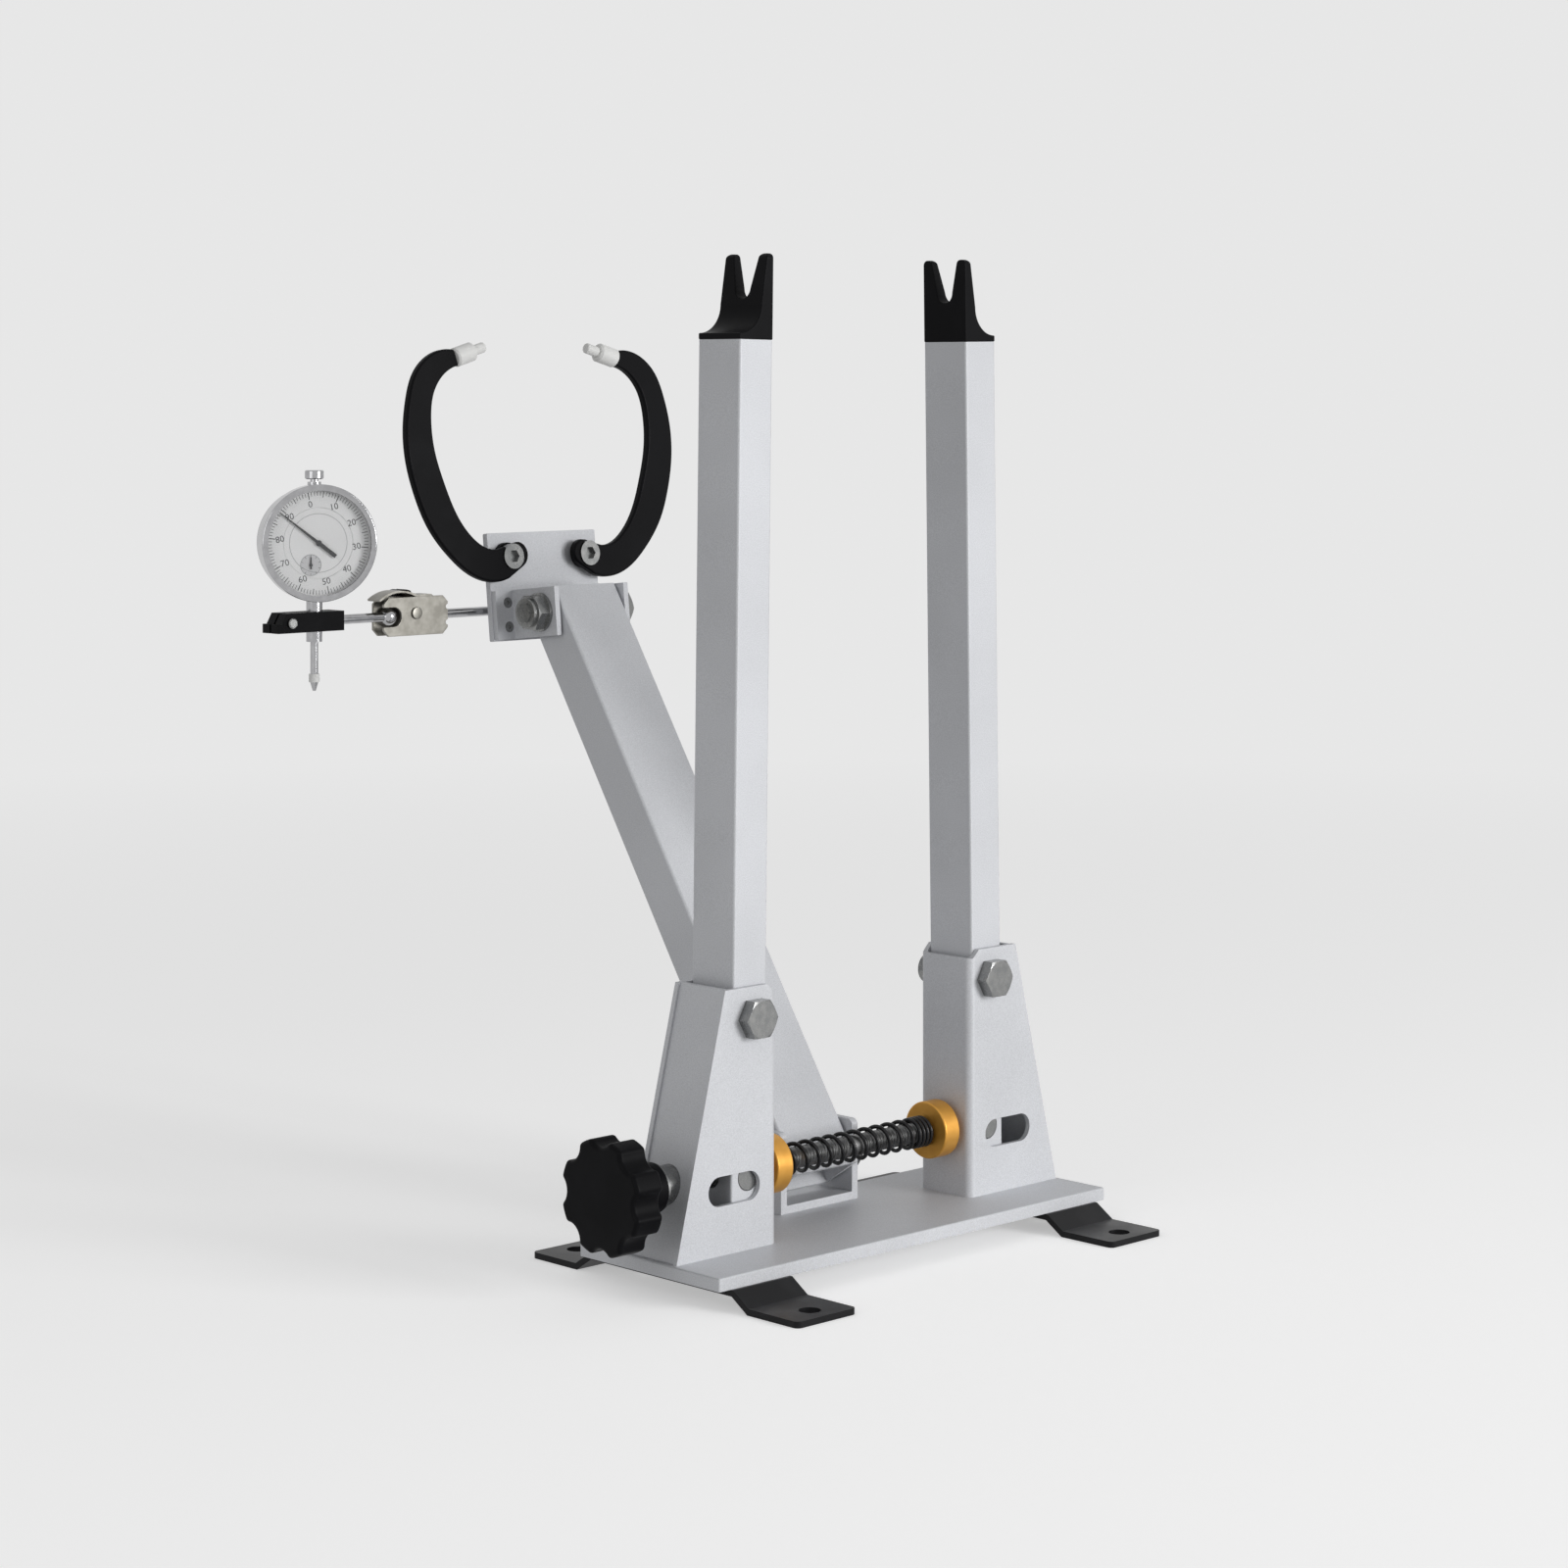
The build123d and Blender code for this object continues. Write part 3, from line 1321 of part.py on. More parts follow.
with BuildPart() as gauge_tip:
    ring(
        stem_plane(-plunger_length - tip_collar_length), tip_collar_radius, tip_core_radius,
        tip_collar_length,
    )
save("gauge_tip", gauge_tip)

with BuildPart() as gauge_cap:
    disc(stem_plane(cap_level), cap_radius, cap_height)
    chamfer(gauge_cap.edges().filter_by(GeomType.CIRCLE), length=plate_chamfer)
    disc(stem_plane(cap_level), plunger_radius, cap_bore_depth, mode=Mode.SUBTRACT)
save("gauge_cap", gauge_cap)
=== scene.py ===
"""Bicycle wheel truing stand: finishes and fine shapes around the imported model.

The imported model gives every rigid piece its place. This script softens the edges of the sheet and tube
pieces, cuts the drive screw's thread, winds the spring, prints the dial gauge's scale and dresses every
piece in a procedural finish. Sizes are in millimetres and become metres in mm().
"""

from __future__ import annotations

import json
import logging
import math
from dataclasses import dataclass, field
from enum import Enum
from typing import Any, Iterable, Sequence

import bmesh
import bpy
from mathutils import Matrix, Vector

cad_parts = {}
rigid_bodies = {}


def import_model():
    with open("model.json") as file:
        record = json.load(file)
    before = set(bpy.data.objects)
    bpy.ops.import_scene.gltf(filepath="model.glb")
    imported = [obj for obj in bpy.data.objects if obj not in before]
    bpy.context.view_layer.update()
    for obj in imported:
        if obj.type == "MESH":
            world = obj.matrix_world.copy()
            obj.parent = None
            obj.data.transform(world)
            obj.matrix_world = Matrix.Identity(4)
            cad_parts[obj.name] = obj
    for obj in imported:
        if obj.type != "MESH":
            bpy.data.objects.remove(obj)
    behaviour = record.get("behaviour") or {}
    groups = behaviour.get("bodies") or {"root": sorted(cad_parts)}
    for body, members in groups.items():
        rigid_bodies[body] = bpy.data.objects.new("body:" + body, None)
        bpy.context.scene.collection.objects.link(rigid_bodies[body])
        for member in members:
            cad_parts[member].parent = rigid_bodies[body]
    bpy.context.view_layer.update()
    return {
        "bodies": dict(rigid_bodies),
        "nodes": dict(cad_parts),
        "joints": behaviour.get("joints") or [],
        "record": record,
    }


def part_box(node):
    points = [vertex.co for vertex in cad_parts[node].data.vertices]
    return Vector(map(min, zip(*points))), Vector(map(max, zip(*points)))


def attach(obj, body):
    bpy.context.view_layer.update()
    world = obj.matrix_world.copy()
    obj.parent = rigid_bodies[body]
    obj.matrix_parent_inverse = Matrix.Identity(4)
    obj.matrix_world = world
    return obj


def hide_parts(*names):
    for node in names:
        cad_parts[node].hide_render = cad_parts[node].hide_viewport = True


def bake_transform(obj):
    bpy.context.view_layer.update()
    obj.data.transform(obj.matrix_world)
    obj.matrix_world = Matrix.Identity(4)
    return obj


log = logging.getLogger("truing_stand")

Colour = tuple[float, float, float]
Place = tuple[float, float, float]
Pair = tuple[float, float]

FULL_TURN = 2 * math.pi
WHITE = (1.0, 1.0, 1.0)
NO_LIGHT = (0.0, 0.0, 0.0)
MIDDLE = 0.5  # middle of a noise between 0 and 1
SCREW_LEVEL = 48.0  # height of the drive screw's axis in millimetres


def mm(*values: float) -> float | Vector:
    """Turns millimetres into metres: one value into a number, several into a vector."""
    if len(values) == 1:
        return values[0] / 1000
    return Vector(value / 1000 for value in values)


def round_edges(
    shape: bmesh.types.BMesh, edges: Iterable[bmesh.types.BMEdge], radius: float, segments: int = 2
) -> None:
    """Rounds edges of a shape.

    Args:
        shape: The mesh.
        edges: Its edges to round.
        radius: Width of the rounding in millimetres.
        segments: Number of facets across the rounding.
    """
    bmesh.ops.bevel(
        shape, geom=list(edges), offset=mm(radius), offset_type="OFFSET", segments=segments, profile=0.5,
        affect="EDGES", clamp_overlap=True, material=-1,
    )


class Slot(Enum):
    """Finishes of the record, by the pieces' materials."""

    ALUMINIUM = "silver_aluminium"
    BLACK_STEEL = "black_steel"
    BLACK_PLASTIC = "black_plastic"
    ZINC = "zinc_steel"
    DARK_STEEL = "dark_steel"
    ROD = "rod_steel"
    SPRING = "black_spring"
    GOLD = "gold_anodised"
    NYLON = "white_nylon"
    NICKEL = "nickel_plate"
    POLISHED = "polished_steel"
    DIAL = "dial_white"
    POINTER = "pointer_black"
    CRYSTAL = "crystal"


class Signal:
    """A shader socket that arithmetic can be written on: each operator adds one Math node."""

    def __init__(self, graph: Graph, socket: bpy.types.NodeSocket) -> None:
        """Keeps the graph that new nodes go to and the socket that carries the value."""
        self.graph = graph
        self.socket = socket

    def _maths(self, operation: str, first: Any, second: Any = None) -> Signal:
        """Adds one Math node.

        Args:
            operation: The Math node's operation.
            first: Its first value, a number or a signal.
            second: Its second value, if the operation has one.

        Returns:
            The node's result.
        """
        values = {0: first} if second is None else {0: first, 1: second}
        return self.graph.signal("ShaderNodeMath", {"operation": operation}, values)

    def __add__(self, other: Any) -> Signal:
        """Sum."""
        return self._maths("ADD", self, other)

    __radd__ = __add__

    def __mul__(self, other: Any) -> Signal:
        """Product."""
        return self._maths("MULTIPLY", self, other)

    __rmul__ = __mul__

    def __sub__(self, other: Any) -> Signal:
        """Difference."""
        return self._maths("SUBTRACT", self, other)

    def __rsub__(self, other: Any) -> Signal:
        """Difference from a number."""
        return self._maths("SUBTRACT", other, self)

    def __pow__(self, other: Any) -> Signal:
        """Power."""
        return self._maths("POWER", self, other)

    def most(self, other: Any) -> Signal:
        """The greater of two."""
        return self._maths("MAXIMUM", self, other)

    def root(self) -> Signal:
        """Square root."""
        return self._maths("SQRT", self)

    def wave(self) -> Signal:
        """Sine."""
        return self._maths("SINE", self)

    def span(self, low: float, high: float) -> Signal:
        """Share of the way from low to high, held between 0 and 1."""
        return self.graph.signal("ShaderNodeMapRange", {"clamp": True}, {0: self, 1: low, 2: high})


class Graph:
    """Node tree of a material or of the world, emptied first."""

    def __init__(self, owner: bpy.types.Material | bpy.types.World, shader: str, output: str) -> None:
        """Puts one shader on the tree's output.

        Args:
            owner: Material or world that the tree belongs to.
            shader: Type of its shader node.
            output: Type of its output node.
        """
        owner.use_nodes = True
        self.tree = owner.node_tree
        self.tree.nodes.clear()
        self.shader = self.node(shader)
        end = self.node(output)
        self.tree.links.new(self.shader.outputs[0], end.inputs["Surface"])

    def node(
        self, kind: str, settings: dict[str, Any] | None = None, inputs: dict[Any, Any] | None = None
    ) -> bpy.types.Node:
        """Adds a node.

        Args:
            kind: The node's type.
            settings: Its own properties, set first.
            inputs: Values or links of its sockets, by name or number.

        Returns:
            The node.
        """
        made = self.tree.nodes.new(kind)
        for key, value in (settings or {}).items():
            setattr(made, key, value)
        for key, value in (inputs or {}).items():
            self.feed(made.inputs[key], value)
        return made

    def feed(self, socket: bpy.types.NodeSocket, value: Any) -> None:
        """Sets a socket to a value, or links it to a signal."""
        if isinstance(value, Signal):
            self.tree.links.new(value.socket, socket)
        else:
            socket.default_value = value

    def signal(
        self,
        kind: str,
        settings: dict[str, Any] | None = None,
        inputs: dict[Any, Any] | None = None,
        output: Any = 0,
    ) -> Signal:
        """Adds a node and returns one of its results."""
        return Signal(self, self.node(kind, settings, inputs).outputs[output])

    def place(self) -> Signal:
        """Point of the surface in the model's own coordinates, in metres."""
        return self.signal("ShaderNodeTexCoord", output="Object")

    def shown(self) -> Signal:
        """1 for the rays that show a thing: the camera's, and those in reflections and glass."""
        rays = self.node("ShaderNodeLightPath")
        seen = Signal(self, rays.outputs["Is Camera Ray"])
        for ray in ("Is Glossy Ray", "Is Transmission Ray"):
            seen = seen.most(Signal(self, rays.outputs[ray]))
        return seen

    def axes(self, point: Signal) -> list[Signal]:
        """The X, Y and Z of a point."""
        parts = self.node("ShaderNodeSeparateXYZ", None, {0: point})
        return [Signal(self, output) for output in parts.outputs]

    def noise(self, cell: float, detail: float = 2.0, stretch: Place = WHITE) -> Signal:
        """Noise between 0 and 1.

        Args:
            cell: Size of its grain in millimetres.
            detail: Number of finer layers.
            stretch: Scale along X, Y and Z.

        Returns:
            The noise's strength.
        """
        point = self.signal("ShaderNodeMapping", None, {0: self.place(), 3: stretch})
        settings = {"Vector": point, "Scale": 1 / mm(cell), "Detail": detail}
        return self.signal("ShaderNodeTexNoise", {"noise_dimensions": "3D"}, settings)

    def mix(self, share: Any, first: Colour | Signal, second: Colour | Signal) -> Signal:
        """Mixes two colours by a share of the second."""
        inputs = {0: share, 6: self.colour(first), 7: self.colour(second)}
        return self.signal("ShaderNodeMix", {"data_type": "RGBA"}, inputs, 2)

    @staticmethod
    def colour(value: Colour | Signal) -> Any:
        """A colour with its alpha, or the signal as it is."""
        return value if isinstance(value, Signal) else (*value, 1.0)

    def relief(self, height: Signal, depth: float, strength: float) -> None:
        """Bumps the surface.

        Args:
            height: Height between 0 and 1.
            depth: Real depth in millimetres.
            strength: Share of the bump that shows.
        """
        inputs = {"Height": height, "Distance": mm(depth), "Strength": strength}
        self.feed(self.shader.inputs["Normal"], self.signal("ShaderNodeBump", None, inputs))


@dataclass(frozen=True)
class Finish:
    """Plain finish of one colour, which the others build on.

    Attributes:
        name: Name of the material.
        colour: Base colour, linear.
        roughness: Middle roughness.
        metallic: 1 for bare metal, 0 for paint and plastic.
        gloss: Strength of the reflection that isn't the metal's own, 0.5 for common paint and plastic.
    """

    name: str
    colour: Colour
    roughness: float
    metallic: float = 0.0
    gloss: float = 0.5

    def made(self) -> bpy.types.Material:
        """Builds the material."""
        material = bpy.data.materials.new(self.name)
        graph = Graph(material, "ShaderNodeBsdfPrincipled", "ShaderNodeOutputMaterial")
        graph.feed(graph.shader.inputs["Metallic"], self.metallic)
        graph.feed(graph.shader.inputs["Base Color"], Graph.colour(self.colour))
        graph.feed(graph.shader.inputs["Roughness"], self.roughness)
        graph.feed(graph.shader.inputs["Specular IOR Level"], self.gloss)
        self.dress(graph)
        return material

    def dress(self, graph: Graph) -> None:
        """Adds the finish's own pattern."""

    def shade(self, share: float) -> Colour:
        """The base colour, lighter or darker."""
        return tuple(min(channel * share, 1.0) for channel in self.colour)


@dataclass(frozen=True)
class PaleFloor(Finish):
    """Pale studio floor that takes shadows and runs into the background far from the object.

    Attributes:
        pale: Brightness that the camera sees far from the object.
        glow: Brightness added near the object, where the floor is lit as well.
        near: Distance in metres where the change to the background starts.
        far: Distance where it ends.
    """

    pale: float = 0.80
    glow: float = 0.42
    near: float = 0.7
    far: float = 2.2

    def dress(self, graph: Graph) -> None:
        """Glow for the rays that show the floor, which grows with the distance."""
        seen = graph.shown()
        east, north, _ = graph.axes(graph.place())
        away = (east ** 2 + north ** 2).root().span(self.near, self.far)
        lit = graph.mix(away, self.colour, NO_LIGHT)
        graph.feed(graph.shader.inputs["Base Color"], lit)
        glow = graph.mix(away, (self.glow,) * 3, (self.pale,) * 3)
        graph.feed(graph.shader.inputs["Emission Color"], graph.mix(seen, NO_LIGHT, glow))
        graph.feed(graph.shader.inputs["Emission Strength"], 1.0)


@dataclass(frozen=True)
class Blasted(Finish):
    """Bead-blasted and anodised aluminium, or any metal with an even fine grain.

    Attributes:
        grain: Size of the speckle in millimetres.
        contrast: How far the speckle is from the middle colour.
        depth: Depth of the grain in millimetres.
        cloud: Size of the slow changes in millimetres.
        cloud_share: Share of the tone that the clouds have; the speckle has the rest.
        cloud_haze: How far the clouds move the roughness.
        speckle_haze: How far the speckle moves it.
    """

    grain: float = 0.45
    contrast: float = 0.16
    depth: float = 0.02
    cloud: float = 60.0
    cloud_share: float = 0.25
    cloud_haze: float = 0.10
    speckle_haze: float = 0.08

    def dress(self, graph: Graph) -> None:
        """Fine speckle over slow cloudy changes."""
        speckle = graph.noise(self.grain, 3.0)
        clouds = graph.noise(self.cloud, 2.0)
        speckle_tone = speckle.span(0.3, 0.7) * (1 - self.cloud_share)
        tone = speckle_tone + clouds.span(0.35, 0.65) * self.cloud_share
        colour = graph.mix(tone, self.shade(1 - self.contrast), self.shade(1 + self.contrast))
        graph.feed(graph.shader.inputs["Base Color"], colour)
        rough = self.roughness + (clouds - MIDDLE) * self.cloud_haze
        rough = rough + (speckle - MIDDLE) * self.speckle_haze
        graph.feed(graph.shader.inputs["Roughness"], rough)
        graph.relief(speckle, self.depth, 0.6)


@dataclass(frozen=True)
class Moulded(Finish):
    """Moulded plastic or satin paint: a fine leathery grain with a few rubbed, glossier places.

    Attributes:
        grain: Size of the grain in millimetres.
        depth: Depth of the grain in millimetres.
        rub: How much lighter the rubbed places are.
        cloud: Size of the rubbed places in millimetres.
        shine: How much smoother the rubbed places are.
        haze: How far the grain moves the roughness.
    """

    grain: float = 0.55
    depth: float = 0.02
    rub: float = 1.6
    cloud: float = 22.0
    shine: float = 0.12
    haze: float = 0.06

    def dress(self, graph: Graph) -> None:
        """Grain in the relief, and slow changes of gloss."""
        grain = graph.noise(self.grain, 2.0)
        clouds = graph.noise(self.cloud, 3.0)
        worn = clouds.span(0.45, 0.8)
        colour = graph.mix(worn, self.colour, self.shade(self.rub))
        graph.feed(graph.shader.inputs["Base Color"], colour)
        rough = self.roughness - worn * self.shine + (grain - MIDDLE) * self.haze
        graph.feed(graph.shader.inputs["Roughness"], rough)
        graph.relief(grain, self.depth, 0.5)


@dataclass(frozen=True)
class Turned(Finish):
    """Metal turned on a lathe: fine rings round an axis parallel to X, Y or Z.

    Attributes:
        axis: Which of X, Y and Z the rings go round, by number.
        centre: Point on that axis in millimetres.
        pitch: Distance between rings in millimetres.
        depth: Depth of the rings in millimetres.
        tint: Colour that the finish drifts to in clouds.
        cloud: Size of the clouds in millimetres.
        cloud_haze: How far the clouds move the roughness.
        ring_haze: How far the rings move it.
    """

    axis: int = 0
    centre: Place = (0.0, 0.0, SCREW_LEVEL)
    pitch: float = 0.35
    depth: float = 0.006
    tint: Colour = (0.5, 0.5, 0.5)
    cloud: float = 5.0
    cloud_haze: float = 0.14
    ring_haze: float = 0.05

    def dress(self, graph: Graph) -> None:
        """Rings by distance from the axis on the faces and along it on the sides."""
        point = graph.signal(
            "ShaderNodeVectorMath", {"operation": "SUBTRACT"}, {0: graph.place(), 1: mm(*self.centre)}
        )
        parts = graph.axes(point)
        along, side, up = (parts[(self.axis + turn) % 3] for turn in range(3))
        radius = (side ** 2 + up ** 2).root()
        rings = ((radius + along) * (FULL_TURN / mm(self.pitch))).wave() * MIDDLE + MIDDLE
        clouds = graph.noise(self.cloud, 3.0)
        share = rings * 0.2 + clouds.span(0.35, 0.7) * 0.5
        graph.feed(graph.shader.inputs["Base Color"], graph.mix(share, self.colour, self.tint))
        rough = self.roughness + (clouds - MIDDLE) * self.cloud_haze + rings * self.ring_haze
        graph.feed(graph.shader.inputs["Roughness"], rough)
        graph.relief(rings, self.depth, 0.35)


@dataclass(frozen=True)
class Plated(Finish):
    """Plated or polished metal with faint clouds and hairline wiping marks.

    Attributes:
        haze: How far the roughness wanders.
        tint: Colour that the finish drifts to in clouds.
        cloud: Size of the clouds in millimetres.
        hair: Width of a hairline in millimetres.
        hair_stretch: Scale of the hairlines' noise along X, Y and Z.
        depth: Depth of a hairline in millimetres.
    """

    haze: float = 0.12
    tint: Colour = (0.5, 0.5, 0.5)
    cloud: float = 4.0
    hair: float = 0.5
    hair_stretch: Place = (1.0, 1.0, 0.06)
    depth: float = 0.004

    def dress(self, graph: Graph) -> None:
        """Clouds in colour and gloss, and hairlines in the relief."""
        clouds = graph.noise(self.cloud, 3.0)
        hairs = graph.noise(self.hair, 2.0, self.hair_stretch)
        colour = graph.mix(clouds.span(0.35, 0.75), self.colour, self.tint)
        graph.feed(graph.shader.inputs["Base Color"], colour)
        rough = self.roughness + (clouds - MIDDLE) * self.haze + (hairs - MIDDLE) * self.haze * 0.5
        graph.feed(graph.shader.inputs["Roughness"], rough)
        graph.relief(hairs, self.depth, 0.3)


@dataclass(frozen=True)
class Clear(Finish):
    """Flat gauge crystal: nearly all of it lets the dial show.

    Attributes:
        alpha: Share of the light that it stops.
        mark: Size of the wiping marks in millimetres.
        mark_stretch: Scale of the marks' noise along X, Y and Z.
        haze: How much rougher the marks are.
        dim: Brightness of the marks against the rest.
    """

    alpha: float = 0.05
    mark: float = 9.0
    mark_stretch: Place = (1.0, 1.0, 0.3)
    haze: float = 0.05
    dim: float = 0.97

    def dress(self, graph: Graph) -> None:
        """A thin clear layer with a few wiping marks in its gloss."""
        graph.feed(graph.shader.inputs["Alpha"], self.alpha)
        marks = graph.noise(self.mark, 4.0, self.mark_stretch)
        graph.feed(graph.shader.inputs["Roughness"], self.roughness + marks.span(0.5, 0.8) * self.haze)
        tone = graph.mix(marks, self.colour, self.shade(self.dim))
        graph.feed(graph.shader.inputs["Base Color"], tone)


SILVER = (0.61, 0.62, 0.645)
BLACK = (0.0035, 0.0035, 0.0042)

FINISHES: dict[Slot, Finish] = {
    Slot.ALUMINIUM: Blasted("speckled_silver_aluminium", SILVER, 0.50, metallic=0.15, gloss=0.4),
    Slot.BLACK_STEEL: Moulded(
        "satin_black_steel", (0.009, 0.009, 0.010), 0.36, gloss=0.14, grain=0.7, depth=0.012, rub=1.8
    ),
    Slot.BLACK_PLASTIC: Moulded(
        "moulded_black_plastic", BLACK, 0.46, gloss=0.06, grain=0.5, depth=0.02, rub=1.7
    ),
    Slot.ZINC: Plated(
        "bright_zinc", (0.235, 0.24, 0.24), 0.27, metallic=1.0, haze=0.10, tint=(0.29, 0.29, 0.285)
    ),
    Slot.DARK_STEEL: Plated(
        "black_oxide_steel", (0.05, 0.05, 0.055), 0.38, metallic=0.8, gloss=0.4, haze=0.1,
        tint=(0.10, 0.10, 0.10),
    ),
    Slot.ROD: Plated(
        "rolled_thread_steel", (0.17, 0.17, 0.17), 0.34, metallic=1.0, haze=0.1, tint=(0.26, 0.26, 0.26)
    ),
    Slot.SPRING: Plated(
        "black_spring_wire", (0.008, 0.008, 0.009), 0.28, gloss=0.3, haze=0.1, tint=(0.018, 0.018, 0.02)
    ),
    Slot.GOLD: Turned(
        "gold_anodised_aluminium", (0.66, 0.32, 0.05), 0.36, metallic=0.6, tint=(0.76, 0.40, 0.08)
    ),
    Slot.NYLON: Moulded(
        "white_nylon", (0.82, 0.82, 0.805), 0.40, gloss=0.4, grain=0.6, depth=0.003, rub=1.04
    ),
    Slot.NICKEL: Plated(
        "warm_nickel", (0.225, 0.215, 0.19), 0.36, metallic=0.8, haze=0.14, tint=(0.31, 0.30, 0.27)
    ),
    Slot.POLISHED: Plated(
        "polished_steel", (0.40, 0.40, 0.41), 0.13, metallic=1.0, haze=0.06, tint=(0.48, 0.48, 0.49)
    ),
    Slot.DIAL: Moulded(
        "white_dial", (0.90, 0.90, 0.90), 0.45, gloss=0.3, grain=0.4, depth=0.003, rub=1.03
    ),
    Slot.POINTER: Moulded(
        "black_lacquer", (0.010, 0.010, 0.012), 0.3, gloss=0.3, grain=0.4, depth=0.004, rub=1.4
    ),
    Slot.CRYSTAL: Clear("clear_crystal", (0.95, 0.97, 0.98), 0.03),
}
INK = Moulded("printing_ink", (0.04, 0.04, 0.045), 0.5, gloss=0.2, grain=0.3, depth=0.001, rub=1.5)
GREY_INK = Moulded(
    "grey_printing_ink", (0.34, 0.34, 0.35), 0.5, gloss=0.3, grain=0.3, depth=0.001, rub=1.05
)
PALE_INK = Moulded(
    "pale_printing_ink", (0.66, 0.66, 0.67), 0.5, gloss=0.3, grain=0.3, depth=0.001, rub=1.03
)


class Finishes:
    """Makes each material once."""

    def __init__(self) -> None:
        """Starts with no materials made."""
        self._made: dict[str, bpy.types.Material] = {}

    def __getitem__(self, finish: Slot | Finish) -> bpy.types.Material:
        """The material of a slot or finish."""
        wanted = FINISHES[finish] if isinstance(finish, Slot) else finish
        if wanted.name not in self._made:
            self._made[wanted.name] = wanted.made()
        return self._made[wanted.name]


class Workshop:
    """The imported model, the finishes and the ways to add a piece to them."""

    smooth_angle = math.radians(35.0)  # sharper edges stay sharp
    flat_angle = math.radians(0.5)  # faces that differ less are joined
    weld = 0.002  # points closer than this are one, in millimetres

    def __init__(self, frame: dict[str, Any]) -> None:
        """Keeps the frame and reads which slot each node has."""
        self.frame = frame
        self.finishes = Finishes()
        rows = frame["record"]["subparts"]
        self.slots = {row["node"]: Slot(row["material_slot"]) for row in rows}

    def joint(self, name: str) -> dict[str, Any]:
        """The record's joint of that name."""
        return next(joint for joint in self.frame["joints"] if joint["name"] == name)

    def dress_nodes(self) -> None:
        """Gives every carried-over node its finish."""
        for name, node in self.frame["nodes"].items():
            node.data.materials.clear()
            node.data.materials.append(self.finishes[self.slots[name]])

    def piece(self, name: str, shape: bmesh.types.BMesh, finish: Slot | Finish) -> bpy.types.Object:
        """Makes an object from a finished shape.

        Args:
            name: Name of the piece.
            shape: Its mesh, in metres in the model's coordinates; it is freed here.
            finish: Slot or finish that it takes.

        Returns:
            The object, at the origin.
        """
        mesh = bpy.data.meshes.new(name)
        shape.to_mesh(mesh)
        shape.free()
        mesh.shade_smooth()
        mesh.set_sharp_from_angle(angle=self.smooth_angle)
        mesh.materials.append(self.finishes[finish])
        made = bpy.data.objects.new(name, mesh)
        bpy.context.scene.collection.objects.link(made)
        return made

    def body(self, node: str) -> str:
        """Body that a node belongs to."""
        bodies = self.frame["record"]["behaviour"]["bodies"]
        return next(body for body, members in bodies.items() if node in members)

    def stand_in(self, piece: bpy.types.Object, node: str) -> None:
        """Lets a piece replace a node and ride on its body."""
        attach(piece, self.body(node))
        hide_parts(node)
        self.slots[node].value
        log.info("%s stands for %s", piece.name, node)

    def merged(self, node: str) -> bmesh.types.BMesh:
        """Closed copy of a node's mesh, with flat areas as single faces."""
        shape = bmesh.new()
        shape.from_mesh(self.frame["nodes"][node].data)
        bmesh.ops.remove_doubles(shape, verts=shape.verts, dist=mm(self.weld))
        bmesh.ops.dissolve_limit(
            shape, angle_limit=self.flat_angle, verts=shape.verts, edges=shape.edges
        )
        return shape


@dataclass
class SoftEdges:
    """Sheet, tube and moulded pieces whose cut edges are broken slightly.

    Attributes:
        shop: Where the pieces are made.
        rounds: Edge radius of each node in millimetres.
        sharp: Edges that turn more than this are broken, in degrees.
    """

    shop: Workshop
    rounds: dict[str, float] = field(
        default_factory=lambda: {
            "base_plate": 0.35,
            "left_foot": 0.5,
            "right_foot": 0.5,
            "left_tower": 0.4,
            "right_tower": 0.4,
            "left_cover_plate": 0.35,
            "right_cover_plate": 0.35,
            "arm_bracket": 0.4,
            "head_plate": 0.4,
            "left_head_bracket": 0.35,
            "right_head_bracket": 0.35,
            "left_dropout": 0.5,
            "right_dropout": 0.5,
            "stem_holder": 0.35,
            "swivel_plates": 0.25,
        }
    )
    sharp: float = 30.0

    def build(self) -> None:
        """Breaks the edges of each listed node."""
        for node, radius in self.rounds.items():
            shape = self.shop.merged(node)
            round_edges(shape, self.corners(shape), radius)
            piece = self.shop.piece(f"{node}_body", shape, self.shop.slots[node])
            weighted = piece.modifiers.new("flat_faces", "WEIGHTED_NORMAL")
            weighted.keep_sharp = True
            self.shop.stand_in(piece, node)

    def corners(self, shape: bmesh.types.BMesh) -> list[bmesh.types.BMEdge]:
        """The sharp edges of a closed shape."""
        limit = math.radians(self.sharp)
        return [
            edge for edge in shape.edges if len(edge.link_faces) == 2 and edge.calc_face_angle() > limit
        ]


